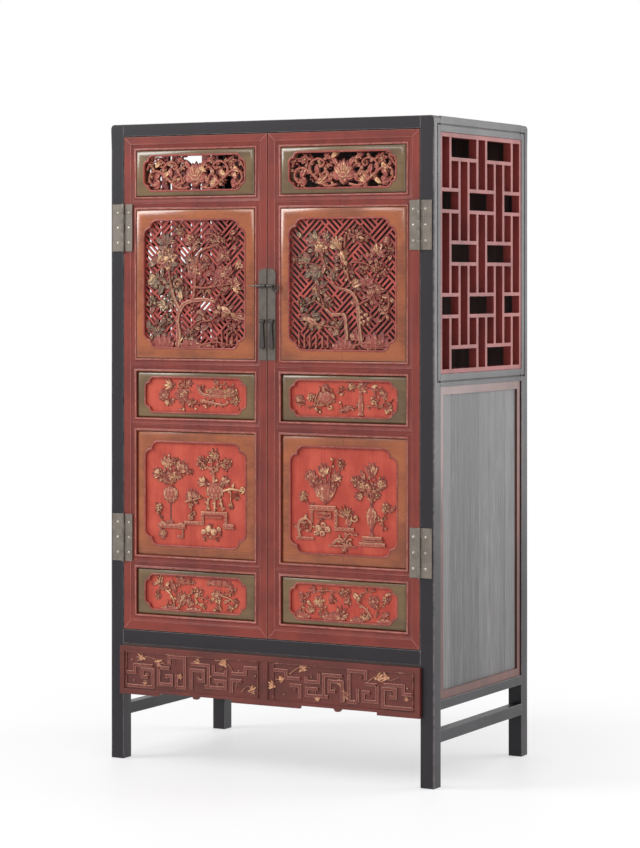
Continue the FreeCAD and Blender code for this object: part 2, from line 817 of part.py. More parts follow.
def door_panel(side, panel):
    """A panel with its tongue, its broadly bevelled border and its window."""
    label = f"{side}_{panel}"
    opened = panel in OPEN_PANELS
    low, _ = OPENINGS[panel]
    left = f"-{OPENING_FAR}" if side == "left" else OPENING_NEAR
    tongue = size("panel_tongue")
    gap = size("panel_field_gap")
    height = PANEL_HEIGHTS[panel]
    body = doc.addObject("PartDesign::Body", f"{label}_border")
    place(body, left, f"{FRONT} + panel_tongue_place + panel_tongue_thickness", low)
    whole = rectangle(-tongue, -tongue, PANEL_WIDTH + tongue, height + tongue)
    pad(body, f"{label}_tongue", sketch_on(body, f"{label}_slab", whole), "panel_tongue_thickness")
    face = "raised_panel_proud" if opened else "-sunk_panel_depth"
    face_rise = f"(panel_tongue_place + {face})"
    field = rectangle(gap, gap, PANEL_WIDTH - gap, height - gap)
    foot = sketch_on(body, f"{label}_foot", field, "panel_tongue_thickness")
    pad(body, f"{label}_field", foot, f"{face_rise} - panel_bevel_height")
    shoulder_lift = f"panel_tongue_thickness + {face_rise} - panel_bevel_height"
    shoulder = sketch_on(body, f"{label}_shoulder", field, shoulder_lift)
    slope = "atan(panel_bevel_width / panel_bevel_height)"
    pad(body, f"{label}_bevel", shoulder, "panel_bevel_height", slope)
    window_edges = window_outline(*window_of(panel))
    window = sketch_on(body, f"{label}_window_edge", window_edges, f"panel_tongue_thickness + {face_rise}")
    pocket(body, f"{label}_window", window, None if opened else "relief_ground_depth")
    if not opened:
        return keep(label, body)
    board = openwork(f"{label}_openwork", panel)
    place(board, left, f"{FRONT} - raised_panel_proud + openwork_drop", low)
    return keep(label, group(label, [body, board]))


def door(side):
    """The frame of one door and its panels."""
    depth = (FRONT, f"{FRONT} + door_thickness")
    middle = f"({FRONT} + door_thickness / 2)"
    cheeks = (f"{middle} - door_tenon_thickness / 2", f"{middle} + door_tenon_thickness / 2")
    opening = across(side, OPENING_NEAR, OPENING_FAR)
    grooves = []
    for panel, (low, height) in OPENINGS.items():
        x = (f"{opening[0]} - panel_tongue", f"{opening[1]} + panel_tongue")
        z = (f"{low} - panel_tongue", f"{low} + {height} + panel_tongue")
        grooves.append(block(f"{side}_{panel}_groove", x, tongue_depth_span, z))
    tops = [f"({low} + {height})" for low, height in OPENINGS.values()]
    lows = [low for low, height in OPENINGS.values()]
    spans = list(zip([DOOR_BOTTOM] + tops, lows + [DOOR_TOP]))
    rails = []
    mortises = {"near": [], "far": []}
    for number, z in enumerate(spans):
        name = f"{side}_door_rail_{number}"
        height = (f"{z[0]} + door_tenon_shoulder", f"{z[1]} - door_tenon_shoulder")
        pieces = [block(f"{name}_bar", opening, depth, z)]
        for edge, near, far in (
            ("near", f"{OPENING_NEAR} - door_tenon_length", OPENING_NEAR),
            ("far", OPENING_FAR, f"{OPENING_FAR} + door_tenon_length"),
        ):
            x = across(side, near, far)
            pieces.append(block(f"{name}_{edge}_tenon", x, cheeks, height))
            mortises[edge].append(block(f"{name}_{edge}_mortise", loose(x), loose(cheeks), loose(height)))
        touching = [grooves[n] for n in (number - 1, number) if 0 <= n < len(grooves)]
        rails.append(cut(name, fuse(f"{name}_fused", pieces), touching))
    keep(f"{side}_door_rails", group(f"{side}_door_rails", rails))
    upright = (DOOR_BOTTOM, DOOR_TOP)
    for label, edge, near, far in (
        (f"{side}_meeting_stile", "near", MEETING_EDGE, OPENING_NEAR),
        (f"{side}_hinge_stile", "far", OPENING_FAR, DOOR_EDGE),
    ):
        blank = block(f"{label}_blank", across(side, near, far), depth, upright)
        keep(label, cut(label, blank, grooves + mortises[edge]))
    for panel in OPENINGS:
        door_panel(side, panel)


for side in SIDES:
    door(side)


# Hinges: face leaves with alternate knuckles round a fixed pin.

HINGE_LEVELS = {"upper": "upper_hinge_level", "lower": "lower_hinge_level"}
leaf_depth = (f"{FRONT} - leaf_thickness", FRONT)
knuckle_step = f"(hinge_height / {KNUCKLES})"
leaf_start = "(knuckle_radius + leaf_clearance)"


def hinge_leaf(name, side, level, carrier):
    """One leaf with the knuckles that belong to it."""
    foot = f"({level} - hinge_height / 2)"
    outward = carrier == "post"
    if outward:
        plate = across(side, f"{HINGE_AXIS} + {leaf_start}", f"{INSIDE} + post_leaf_width")
        tab = across(side, f"{HINGE_AXIS} + knuckle_tab_reach", f"{HINGE_AXIS} + {leaf_start}")
    else:
        plate = across(side, f"{DOOR_EDGE} - door_leaf_width", f"{HINGE_AXIS} - {leaf_start}")
        tab = across(side, f"{HINGE_AXIS} - {leaf_start}", f"{HINGE_AXIS} - knuckle_tab_reach")
    pieces = [block(f"{name}_plate", plate, leaf_depth, (foot, f"{foot} + hinge_height"))]
    axis_x = HINGE_AXIS if side == "right" else f"-{HINGE_AXIS}"
    for number in range(0 if outward else 1, KNUCKLES, 2):
        low = f"({foot} + {number} * {knuckle_step} + knuckle_gap / 2)"
        tall = f"({knuckle_step} - knuckle_gap)"
        pieces.append(block(f"{name}_tab_{number}", tab, leaf_depth, (low, f"{low} + {tall}")))
        pieces.append(rod(f"{name}_knuckle_{number}", "knuckle_radius", tall, axis_x, HINGE_DEPTH, low))
    bore = rod(
        f"{name}_bore", "hinge_pin_radius + running_clearance", "hinge_height", axis_x, HINGE_DEPTH, foot
    )
    return cut(name, fuse(f"{name}_fused", pieces), [bore])


def nail_head(name, x, z, depth):
    """A domed nail head seated on a plate."""
    dome = "((nail_head_radius ^ 2 + nail_head_height ^ 2) / (2 * nail_head_height))"
    nail = doc.addObject("Part::Sphere", name)
    nail.Placement.Rotation = TO_FRONT
    nail.setExpression("Radius", bound(dome))
    nail.setExpression("Angle1", bound(f"asin(({dome} - nail_head_height) / {dome})"))
    place(nail, x, f"{depth} + {dome} - nail_head_height", z)
    return nail


post_leaves = []
post_nails = []
pins = []
for side in SIDES:
    door_leaves = []
    door_nails = []
    axis_x = HINGE_AXIS if side == "right" else f"-{HINGE_AXIS}"
    for where, level in HINGE_LEVELS.items():
        foot = f"({level} - hinge_height / 2)"
        name = f"{side}_{where}_hinge"
        post_leaves.append(hinge_leaf(f"{name}_post_leaf", side, level, "post"))
        door_leaves.append(hinge_leaf(f"{name}_door_leaf", side, level, "door"))
        shank = rod(f"{name}_shank", "hinge_pin_radius", "hinge_height", axis_x, HINGE_DEPTH, foot)
        caps = [
            rod(f"{name}_foot_cap", "hinge_cap_radius", "hinge_cap_height", axis_x, HINGE_DEPTH,
                f"{foot} - hinge_cap_height + knuckle_gap / 2"),
            rod(f"{name}_head_cap", "hinge_cap_radius", "hinge_cap_height", axis_x, HINGE_DEPTH,
                f"{foot} + hinge_height - knuckle_gap / 2"),
        ]
        pins.append(fuse(f"{name}_pin", [shank] + caps))
        for number in range(NAILS):
            z = f"{level} + {number - (NAILS - 1) / 2} * nail_spacing"
            for carrier, nails, sign in (("post", post_nails, "+"), ("door", door_nails, "-")):
                middle = f"({HINGE_AXIS} {sign} nail_offset)"
                x = middle if side == "right" else f"-{middle}"
                nails.append(nail_head(f"{name}_{carrier}_nail_{number}", x, z, f"{FRONT} - leaf_thickness"))
    keep(f"{side}_door_hinge_leaves", group(f"{side}_door_hinge_leaves", door_leaves))
    keep(f"{side}_door_hinge_nails", group(f"{side}_door_hinge_nails", door_nails))
keep("post_hinge_leaves", group("post_hinge_leaves", post_leaves))
keep("post_hinge_nails", group("post_hinge_nails", post_nails))
keep("hinge_pins", group("hinge_pins", pins))


# Lock plates, the bolt with its tube and keeper, and the hanging pulls.

plate_face = f"({FRONT} - lock_plate_thickness)"
bolt_depth = f"({FRONT} - bolt_stand)"
pull_depth = f"({FRONT} - pull_stand)"


def lock_plate(side):
    """A tall face plate with its outer upper corner rounded."""
    width = size("lock_plate_width")
    tall = size("lock_plate_height")
    turn = size("lock_plate_round")
    outer, inner = (0, width) if side == "left" else (width, 0)
    away = 1 if side == "left" else -1
    corner = point(outer + away * turn * (1 - math.sqrt(0.5)), tall - turn * (1 - math.sqrt(0.5)))
    edges = [
        Part.LineSegment(point(inner, 0), point(inner, tall)),
        Part.LineSegment(point(inner, tall), point(outer + away * turn, tall)),
        Part.Arc(point(outer + away * turn, tall), corner, point(outer, tall - turn)),
        Part.LineSegment(point(outer, tall - turn), point(outer, 0)),
        Part.LineSegment(point(outer, 0), point(inner, 0)),
    ]
    body = doc.addObject("PartDesign::Body", f"{side}_lock_plate")
    left = f"-({MEETING_EDGE} + lock_plate_width)" if side == "left" else MEETING_EDGE
    place(body, left, FRONT, "lock_plate_level - lock_plate_height / 2")
    pad(body, f"{side}_lock_slab", sketch_on(body, f"{side}_lock_edge", edges), "lock_plate_thickness")
    keep(f"{side}_lock_plate", body)


def pull_staple(side):
    """Two cheeks and the pin between them that the pull hangs on."""
    middle = f"({MEETING_EDGE} + lock_plate_width / 2)"
    half = "(pull_barrel_length / 2 + staple_gap)"
    height = ("pull_level - staple_height / 2", "pull_level + staple_height / 2")
    depth = (f"{FRONT} - staple_reach", plate_face)
    pieces = []
    for name, near, far in (
        ("inner", f"{middle} - {half} - staple_cheek_width", f"{middle} - {half}"),
        ("outer", f"{middle} + {half}", f"{middle} + {half} + staple_cheek_width"),
    ):
        pieces.append(block(f"{side}_{name}_cheek", across(side, near, far), depth, height))
    start = across(side, f"{middle} - {half}", f"{middle} + {half}")[0]
    length = f"2 * {half}"
    pin = rod(f"{side}_staple_pin", "pull_pin_radius", length, start, pull_depth, "pull_level", ALONG_X)
    return fuse(f"{side}_staple", pieces + [pin])


def pull(side):
    """A long drop with a rounded foot, hung on a barrel."""
    top = size("pull_top_width") / 2
    wide = size("pull_bottom_width") / 2
    foot = -size("pull_length") + wide
    edges = [
        Part.LineSegment(point(-top, 0), point(-wide, foot)),
        Part.Arc(point(-wide, foot), point(0, foot - wide), point(wide, foot)),
        Part.LineSegment(point(wide, foot), point(top, 0)),
        Part.LineSegment(point(top, 0), point(-top, 0)),
    ]
    middle = f"({MEETING_EDGE} + lock_plate_width / 2)"
    x = middle if side == "right" else f"-{middle}"
    drop = doc.addObject("PartDesign::Body", f"{side}_drop")
    place(drop, x, f"{pull_depth} + pull_thickness / 2", "pull_level")
    pad(drop, f"{side}_drop_slab", sketch_on(drop, f"{side}_drop_edge", edges), "pull_thickness")
    bars = []
    for name, radius in (("barrel", "pull_barrel_radius"), ("bore", "pull_pin_radius + running_clearance")):
        start = f"{x} - pull_barrel_length / 2"
        bars.append(
            rod(f"{side}_{name}", radius, "pull_barrel_length", start, pull_depth, "pull_level", ALONG_X)
        )
    barrel, bore = bars
    keep(f"{side}_pull", cut(f"{side}_pull", fuse(f"{side}_pull_fused", [drop, barrel]), [bore]))


for side in SIDES:
    lock_plate(side)
    pull(side)


def bolt_rod(name, radius, length, start):
    """A round bar on the bolt's axis, from its left end."""
    return rod(name, radius, length, start, bolt_depth, "bolt_level", ALONG_X)


near_end = f"({MEETING_EDGE} + bolt_tube_setback)"
foot_z = ("bolt_level - bolt_foot_height / 2", "bolt_level + bolt_foot_height / 2")
foot_y = (bolt_depth, plate_face)
tube_start = f"-({near_end} + bolt_tube_length)"
tube = bolt_rod("bolt_tube_wall", "bolt_tube_radius", "bolt_tube_length", tube_start)
tube_foot = block("bolt_tube_foot", (tube_start, f"-{near_end}"), foot_y, foot_z)
tube_bore = bolt_rod("bolt_tube_bore", "bolt_radius + running_clearance", "bolt_tube_length", tube_start)
bolt_tube = cut("bolt_tube", fuse("bolt_tube_fused", [tube, tube_foot]), [tube_bore])
keep("left_lock_fittings", group("left_lock_fittings", [bolt_tube, pull_staple("left")]))

keeper = bolt_rod("keeper_wall", "keeper_radius", "keeper_length", near_end)
keeper_foot = block("keeper_foot", (near_end, f"{near_end} + keeper_length"), foot_y, foot_z)
curl = doc.addObject("Part::Torus", "keeper_curl")
curl.Placement.Rotation = TO_FRONT.multiply(FreeCAD.Rotation(FreeCAD.Vector(0, 0, 1), -size("curl_start")))
curl.setExpression("Radius1", bound("curl_radius"))
curl.setExpression("Radius2", bound("curl_wire_radius"))
curl.setExpression("Angle3", bound("curl_sweep"))
place(curl, f"{near_end} + keeper_length + curl_reach", bolt_depth, "bolt_level - curl_drop")
keeper_bore = bolt_rod("keeper_bore", "bolt_radius + keeper_clearance", "keeper_bore_depth", near_end)
bolt_keeper = cut("bolt_keeper", fuse("keeper_fused", [keeper, keeper_foot, curl]), [keeper_bore])
keep("right_lock_fittings", group("right_lock_fittings", [bolt_keeper, pull_staple("right")]))

bolt_start = f"-({MEETING_EDGE} + bolt_end_setback + bolt_length)"
shaft_start = f"{bolt_start} + bolt_tip_length"
shaft = bolt_rod("bolt_shaft", "bolt_radius", "bolt_length - bolt_tip_length", shaft_start)
tip = doc.addObject("Part::Cone", "bolt_tip")
tip.Placement.Rotation = ALONG_X
tip.setExpression("Radius1", bound("bolt_tip_radius"))
tip.setExpression("Radius2", bound("bolt_radius"))
tip.setExpression("Height", bound("bolt_tip_length"))
place(tip, bolt_start, bolt_depth, "bolt_level")
keep("lock_bolt", fuse("lock_bolt", [shaft, tip]))


doc.recompute()

faults = [item.Label for item in doc.Objects if "Invalid" in item.State or "Error" in item.State]
for label, piece in parts.items():
    if piece.Shape.isNull() or not piece.Shape.isValid() or not piece.Shape.Solids:
        faults.append(label)
if faults:
    raise RuntimeError(f"pieces that did not build: {sorted(set(faults))}")

os.makedirs("parts", exist_ok=True)
for label, piece in sorted(parts.items()):
    piece.Shape.exportStep(f"parts/{label}.step")
    print(f"{label}: {len(piece.Shape.Solids)} solids, {piece.Shape.Volume / 1000:.1f} cm3")
print(f"{len(parts)} sub-parts")
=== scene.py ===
"""Looks of the wedding cabinet: lacquered timbers, framed doors, carved panels, lattices and brass."""

import logging
import random
from dataclasses import dataclass, field, replace
from enum import Enum
from functools import lru_cache
from math import atan2, ceil, copysign, cos, degrees, pi, radians, sin, sqrt, tau
from typing import Callable, Iterable, Sequence

import bmesh
import bpy
from bmesh.types import BMEdge, BMFace, BMVert
from mathutils import Matrix, Vector, geometry, noise


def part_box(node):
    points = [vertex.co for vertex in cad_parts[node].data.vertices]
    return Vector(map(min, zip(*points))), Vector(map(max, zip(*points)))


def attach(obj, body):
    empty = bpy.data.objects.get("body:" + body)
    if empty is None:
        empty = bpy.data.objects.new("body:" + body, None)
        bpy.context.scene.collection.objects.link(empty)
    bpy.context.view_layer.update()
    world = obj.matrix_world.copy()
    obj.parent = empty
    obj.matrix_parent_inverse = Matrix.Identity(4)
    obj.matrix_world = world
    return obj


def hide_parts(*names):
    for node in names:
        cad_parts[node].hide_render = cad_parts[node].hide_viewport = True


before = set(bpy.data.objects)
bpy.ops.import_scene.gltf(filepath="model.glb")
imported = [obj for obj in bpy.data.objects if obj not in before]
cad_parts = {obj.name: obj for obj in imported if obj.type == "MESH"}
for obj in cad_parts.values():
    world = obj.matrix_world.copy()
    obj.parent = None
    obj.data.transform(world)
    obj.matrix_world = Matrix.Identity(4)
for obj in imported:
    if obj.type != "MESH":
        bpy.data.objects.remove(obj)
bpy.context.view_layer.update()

log = logging.getLogger("cabinet")

MM = 0.001
SEED = 1912
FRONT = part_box("left_front_post")[0].y
TENON = 18 * MM
TONGUE = 8 * MM
WELD = 0.01 * MM
CROWD = 900
SIDES = ("left", "right")
PANELS = ("foot", "lower", "waist", "upper", "head")
HANDS = (1, -1)

Rgb = tuple[int, int, int]
Spot = tuple[float, float]
Plan = Sequence[tuple[str, tuple]]
Feed = "Wire | float | Sequence[float]"


def linear(colour: Rgb) -> tuple[float, float, float, float]:
    """A colour as a painter's eye gives it, turned into the light that a shader wants.

    Args:
        colour: red, green and blue, each from 0 to 255.

    Returns:
        The same colour in linear light, with full alpha.
    """
    def channel(value: int) -> float:
        """One channel in linear light."""
        share = value / 255
        return share / 12.92 if share <= 0.04045 else ((share + 0.055) / 1.055) ** 2.4
    return (*(channel(value) for value in colour), 1.0)


def operator(operation: str, reflected: bool = False) -> Callable[["Wire", "Wire | float"], "Wire"]:
    """A method that adds one Math node.

    Args:
        operation: the node's operation.
        reflected: whether the other value comes first.

    Returns:
        The method.
    """
    def method(wire: "Wire", other: "Wire | float" = 0.0) -> "Wire":
        """The wire from a Math node on two values."""
        values = (other, wire) if reflected else (wire, other)
        return wire.bench.add("ShaderNodeMath", {"operation": operation}, dict(enumerate(values)))
    return method


class Wire:
    """The output of a shader node, which takes part in sums."""

    __add__, __radd__ = operator("ADD"), operator("ADD", True)
    __sub__, __rsub__ = operator("SUBTRACT"), operator("SUBTRACT", True)
    __mul__, __rmul__ = operator("MULTIPLY"), operator("MULTIPLY", True)
    __abs__, most = operator("ABSOLUTE"), operator("MAXIMUM")

    def __init__(self, bench: "Bench", socket: bpy.types.NodeSocket) -> None:
        """Keep the bench and the socket."""
        self.bench, self.socket = bench, socket


class Bench:
    """The node tree of one finish, or of the room."""

    def __init__(self, name: str, room: bool = False) -> None:
        """Start a tree with its shader.

        Args:
            name: its name.
            room: whether it is the room's and not a material's.
        """
        self.material = (bpy.data.worlds if room else bpy.data.materials).new(name)
        self.material.use_nodes = True
        self.tree = self.material.node_tree
        self.shader = self.tree.nodes["Background" if room else "Principled BSDF"]

    def add(self, kind: str, settings: dict | None = None, inputs: dict | None = None,
            out: int | str = 0) -> Wire:
        """Add any node.

        Args:
            kind: the node's type.
            settings: its settings, set first; "stops" holds a ramp's places and colours.
            inputs: a value or a wire for each named or numbered socket.
            out: the output that the wire takes.

        Returns:
            The wire from that output.
        """
        node = self.tree.nodes.new(kind)
        for key, value in (settings or {}).items():
            if key == "stops":
                ramp = node.color_ramp.elements
                while len(ramp) < len(value):
                    ramp.new(0.5)
                for element, (place, colour) in zip(ramp, value):
                    element.position = place
                    element.color = colour
            else:
                setattr(node, key, value)
        for key, value in (inputs or {}).items():
            self.feed(node.inputs[key], value)
        return Wire(self, node.outputs[out])

    def feed(self, socket: bpy.types.NodeSocket, value: Feed) -> None:
        """Give a socket a wire or a value.

        Args:
            socket: the socket.
            value: what it is given.
        """
        if isinstance(value, Wire):
            self.tree.links.new(value.socket, socket)
        else:
            socket.default_value = value

    def place(self) -> Wire:
        """Where a point of the piece is, in metres."""
        return self.add("ShaderNodeTexCoord", out="Object")

    def facing(self) -> Wire:
        """Which way a point of the piece faces."""
        return self.add("ShaderNodeTexCoord", out="Normal")

    def axis(self, vector: Wire, letter: str) -> Wire:
        """One part of a vector."""
        return self.add("ShaderNodeSeparateXYZ", {}, {0: vector}, out=letter)

    def stretched(self, vector: Wire, scale: Sequence[float], turn: Sequence[float] = (0, 0, 0)) -> Wire:
        """A place pulled along the axes and turned."""
        return self.add("ShaderNodeMapping", {}, {"Vector": vector, "Scale": scale, "Rotation": turn})

    def clouds(self, vector: Wire, scale: float, detail: float = 3.0, rough: float = 0.55) -> Wire:
        """Noise from 0 to 1 at a scale of so many to the metre."""
        return self.add("ShaderNodeTexNoise", {}, {"Vector": vector, "Scale": scale, "Detail": detail,
                                                   "Roughness": rough})

    def between(self, value: Wire, low: float, high: float) -> Wire:
        """A soft step from 0 at one value to 1 at another."""
        return self.add("ShaderNodeMapRange", {"interpolation_type": "SMOOTHSTEP"},
                        {"Value": value, "From Min": low, "From Max": high})

    def seen(self) -> Wire:
        """1 to the camera, in mirrors and through glass, and 0 to the light that falls on things."""
        camera, glossy, clear = (self.add("ShaderNodeLightPath", out=f"Is {name} Ray")
                                 for name in ("Camera", "Glossy", "Transmission"))
        return camera.most(glossy).most(clear)

    def mask(self, name: str) -> Wire:
        """A mark that the maker left on the mesh."""
        return self.add("ShaderNodeAttribute", {"attribute_name": name}, out="Fac")

    def mix(self, share: Feed, first: "Wire | Rgb", second: "Wire | Rgb") -> Wire:
        """Two colours blended by a share."""
        first, second = (colour if isinstance(colour, Wire) else linear(colour) for colour in (first, second))
        return self.add("ShaderNodeMix", {"data_type": "RGBA"}, {0: share, 6: first, 7: second}, out=2)

    def bump(self, height: Wire, distance: float, strength: float = 1.0) -> None:
        """Raise the surface by a height in shares of a distance."""
        normal = self.add("ShaderNodeBump", {}, {"Height": height, "Distance": distance, "Strength": strength})
        self.feed(self.shader.inputs["Normal"], normal)

    def dress(self, **values: Feed) -> bpy.types.Material:
        """Feed the shader's sockets, named with underlines for spaces.

        Returns:
            The finished material.
        """
        for key, value in values.items():
            self.feed(self.shader.inputs[key.replace("_", " ")], value)
        return self.material


class Grain(Enum):
    """Which way the grain of a timber runs, as the pull along each axis."""

    UP = (1.0, 1.0, 0.05)
    ACROSS = (0.05, 1.0, 1.0)
    BACK = (1.0, 0.05, 1.0)


@dataclass(frozen=True)
class Lacquer:
    """Old lacquer over wood: cloudy colour, grain that prints through, dark joints, wear on the arrises that on bead
    tops and groove walls also paints a highlight, and painted shade, partly dirt, in grooves, gaps and recesses.
    """

    name: str
    slot: str
    colour: Rgb
    shade: Rgb
    # Colour of scuffs and worn arrises, which on bead tops and groove walls also paints a highlight.
    worn: Rgb
    # Dark colour of joints, and of the painted shade, partly dirt, in marked grooves, gaps and recesses.
    dirt: Rgb = (38, 26, 20)
    grain: Grain = Grain.UP
    roughness: float = 0.38
    grain_share: float = 0.45
    patch_scale: float = 7.0
    # How strongly marked edges turn pale: wear, and on bead tops and groove walls a painted highlight.
    wear_and_highlight: float = 0.62
    scuffs: float = 0.72
    coat: float = 0.25
    joint_place: float | None = None

    @lru_cache(maxsize=None)
    def material(self) -> bpy.types.Material:
        """The finish as a material, made once.

        Returns:
            The material.
        """
        bench = Bench(f"{self.name}_{self.grain.name.lower()}")
        place = bench.place()
        lines = bench.clouds(bench.stretched(place, self.grain.value), 210, 3)
        broad = bench.clouds(bench.stretched(place, self.grain.value), 34, 4)
        cloud = bench.clouds(place, self.patch_scale, 4, 0.6)
        scuff = bench.clouds(place, 55, 5, 0.65)
        fine = bench.clouds(place, 420, 2)
        tone = cloud * (1 - self.grain_share) + (lines * 0.4 + broad * 0.6) * self.grain_share
        colour = bench.mix(bench.between(tone, 0.4, 0.62), self.colour, self.shade)
        rubbed = bench.between(scuff * 0.7 + fine * 0.3, self.scuffs - 0.03, self.scuffs + 0.05)
        colour = bench.mix(rubbed * 0.7, colour, self.worn)
        # Paler marked edges: wear on arrises, and a painted highlight on bead tops and groove walls.
        worn_edge_and_highlight = bench.between(bench.mask("edge") * self.wear_and_highlight + scuff * 0.34 + fine * 0.2, 0.64, 0.92)
        colour = bench.mix(worn_edge_and_highlight, colour, self.worn)
        # Painted shade, partly dirt: darkening where the mesh marks a groove, gap or recess.
        shade_and_dirt_share = bench.between(bench.mask("dirt") + (scuff - 0.5) * 0.8, 0.25, 0.95)
        colour = bench.mix(shade_and_dirt_share * 0.85, colour, self.dirt)
        if self.joint_place is not None:
            along = abs(bench.axis(place, "X"))
            joint = bench.between(abs(along - self.joint_place + (broad - 0.5) * 0.0012), 0.0009, 0.0002)
            colour = bench.mix(joint * 0.8, colour, self.dirt)
        bench.bump(lines * 0.6 + fine * 0.25 - worn_edge_and_highlight * 0.5 - rubbed * 0.3, 0.0004, 0.6)
        rough = self.roughness + (cloud - 0.5) * 0.25 + worn_edge_and_highlight * 0.22 + shade_and_dirt_share * 0.2
        return bench.dress(Base_Color=colour, Roughness=rough, Specular_IOR_Level=0.36, Coat_Weight=self.coat,
                           Coat_Roughness=0.16)


@dataclass(frozen=True)
class PlankLacquer:
    """Thin grey black lacquer over upright planks, with the pale grain showing."""

    name: str
    slot: str
    colour: Rgb
    shade: Rgb
    streak: Rgb
    plank: float = 0.172
    along: str = "Y"

    @lru_cache(maxsize=None)
    def material(self) -> bpy.types.Material:
        """The finish as a material, made once.

        Returns:
            The material.
        """
        bench = Bench(self.name)
        place = bench.place()
        wave = bench.clouds(bench.stretched(place, (1, 1, 0.25)), 4, 3)
        pulled = bench.stretched(place, (1, 1, 0.035))
        fibre = bench.clouds(pulled, 260, 5, 0.65)
        broad = bench.clouds(pulled, 45, 4, 0.6)
        across = bench.axis(place, self.along) + (wave - 0.5) * 0.004
        cell = bench.add("ShaderNodeMath", {"operation": "PINGPONG"}, {0: across, 1: self.plank / 2})
        seam = bench.between(cell, 0.0014, 0.0003)
        board = bench.add("ShaderNodeMath", {"operation": "SNAP"}, {0: across, 1: self.plank})
        plank_tone = bench.add("ShaderNodeTexWhiteNoise", {"noise_dimensions": "1D"}, {"W": board}, out="Value")
        tone = fibre * 0.45 + broad * 0.4 + plank_tone * 0.15
        colour = bench.mix(bench.between(tone, 0.36, 0.66), self.shade, self.colour)
        colour = bench.mix(bench.between(fibre * 0.6 + wave * 0.4, 0.56, 0.72) * 0.5, colour, self.streak)
        colour = bench.mix(seam * 0.75, colour, (30, 28, 28))
        bench.bump(fibre * 0.8 + broad * 0.3 - seam * 0.9, 0.0006, 0.7)
        return bench.dress(Base_Color=colour, Roughness=0.52 + (broad - 0.5) * 0.3)


@dataclass(frozen=True)
class Gilding:
    """Red painted carving with worn gold on what stands highest, painted shade in its low parts and painted
    highlights on its front-facing tops and shoulders.
    """

    name: str
    slot: str
    body: Rgb
    # The dark colour of the painted shade in the carving's low parts.
    painted_hollow_shade: Rgb
    gold: Rgb
    # Pale gold, also the colour of the painted highlights on rims and tops.
    pale: Rgb
    ground: float
    height: float
    leaf: Rgb = (112, 96, 76)
    spread: float = 0.0
    # How strongly the pale rims and rubbed spots show; they are partly painted highlight.
    rim: float = 0.45

    @lru_cache(maxsize=None)
    def material(self) -> bpy.types.Material:
        """The finish as a material, made once.

        Returns:
            The material.
        """
        bench = Bench(self.name)
        place = bench.place()
        rise = (self.ground - bench.axis(place, "Y")) * (1 / self.height)
        patch = bench.clouds(place, 45, 4, 0.6)
        flake = bench.clouds(place, 230, 4, 0.7)
        knobs = bench.clouds(place, 130, 2, 0.5)
        # How far a point faces the front; with its height it sets the painted highlights below.
        ahead = bench.axis(bench.facing(), "Y") * -1.0
        top = bench.between(ahead * 0.5 + rise * 0.5 + (knobs - 0.5) * 0.5, 0.25, 0.85)
        leafy = bench.between(bench.mask("leafy") + (patch - 0.5) * 0.6, 0.3, 0.8)
        colour = bench.mix(leafy, self.body, self.leaf)
        # Painted shade: points that lie low towards the ground take the dark hollow colour.
        deep = bench.between(rise + (flake - 0.5) * 0.4 + (knobs - 0.5) * 0.6, 0.62, 0.1)
        colour = bench.mix(deep * 0.9, colour, self.painted_hollow_shade)
        # More gilding on front-facing high parts: partly worn gold, partly a painted highlight.
        gilt = bench.between(bench.mask("gilt") * 0.8 + top * 0.45 + (patch - 0.5) * 1.5 + (flake - 0.5) * 0.9
                             + (knobs - 0.5) * 0.5 + self.spread, 0.72, 1.05) * (1 - deep * 0.75)
        # The gold turns paler on front-facing high parts: a painted highlight.
        gold = bench.mix(bench.between(flake * 0.4 + patch * 0.3 + top * 0.3, 0.45, 0.8), self.gold, self.pale)
        colour = bench.mix(gilt, colour, gold)
        # Painted highlight: pale rims on the sloping shoulders of each shape, and pale rubbed spots that favour
        # front-facing high parts, partly real rubbing.
        painted_rim_highlight = bench.between(ahead, 0.97, 0.8) * bench.between(rise, 0.3, 0.6)
        rubbed = bench.between(flake * 0.7 + knobs * 0.3 + top * 0.22 + painted_rim_highlight * 0.3, 0.74, 0.98) * (1 - gilt)
        colour = bench.mix(rubbed * self.rim, colour, self.pale)
        bench.bump(flake * 0.35 + knobs * 0.65, 0.0011, 0.8)
        return bench.dress(Base_Color=colour, Metallic=gilt * 0.2, Roughness=0.5 - gilt * 0.12 + flake * 0.1,
                           Specular_IOR_Level=0.42)


@dataclass(frozen=True)
class Brass:
    """Patinated brass, rubbed bright where hands and cloths reach it."""

    name: str
    slot: str
    colour: Rgb
    patina: Rgb
    bright: Rgb
    roughness: float = 0.4
    metal: float = 0.35

    @lru_cache(maxsize=None)
    def material(self) -> bpy.types.Material:
        """The finish as a material, made once.

        Returns:
            The material.
        """
        bench = Bench(self.name)
        place = bench.place()
        blotch = bench.clouds(place, 38, 4, 0.6)
        speck = bench.clouds(place, 260, 3)
        scratch = bench.clouds(bench.stretched(place, (1, 1, 0.08)), 500, 2)
        colour = bench.mix(bench.between(blotch, 0.38, 0.68) * 0.7, self.colour, self.patina)
        polish = bench.between(scratch * 0.5 + blotch * 0.25 + speck * 0.25, 0.5, 0.72)
        colour = bench.mix(polish * 0.45, colour, self.bright)
        pits = bench.between(speck, 0.66, 0.76)
        colour = bench.mix(pits * 0.5, colour, (58, 52, 48))
        bench.bump(speck * 0.3 + scratch * 0.4 - pits * 0.5, 0.0003, 0.5)
        return bench.dress(Base_Color=colour, Metallic=self.metal,
                           Roughness=self.roughness + (blotch - 0.5) * 0.2 + pits * 0.2)


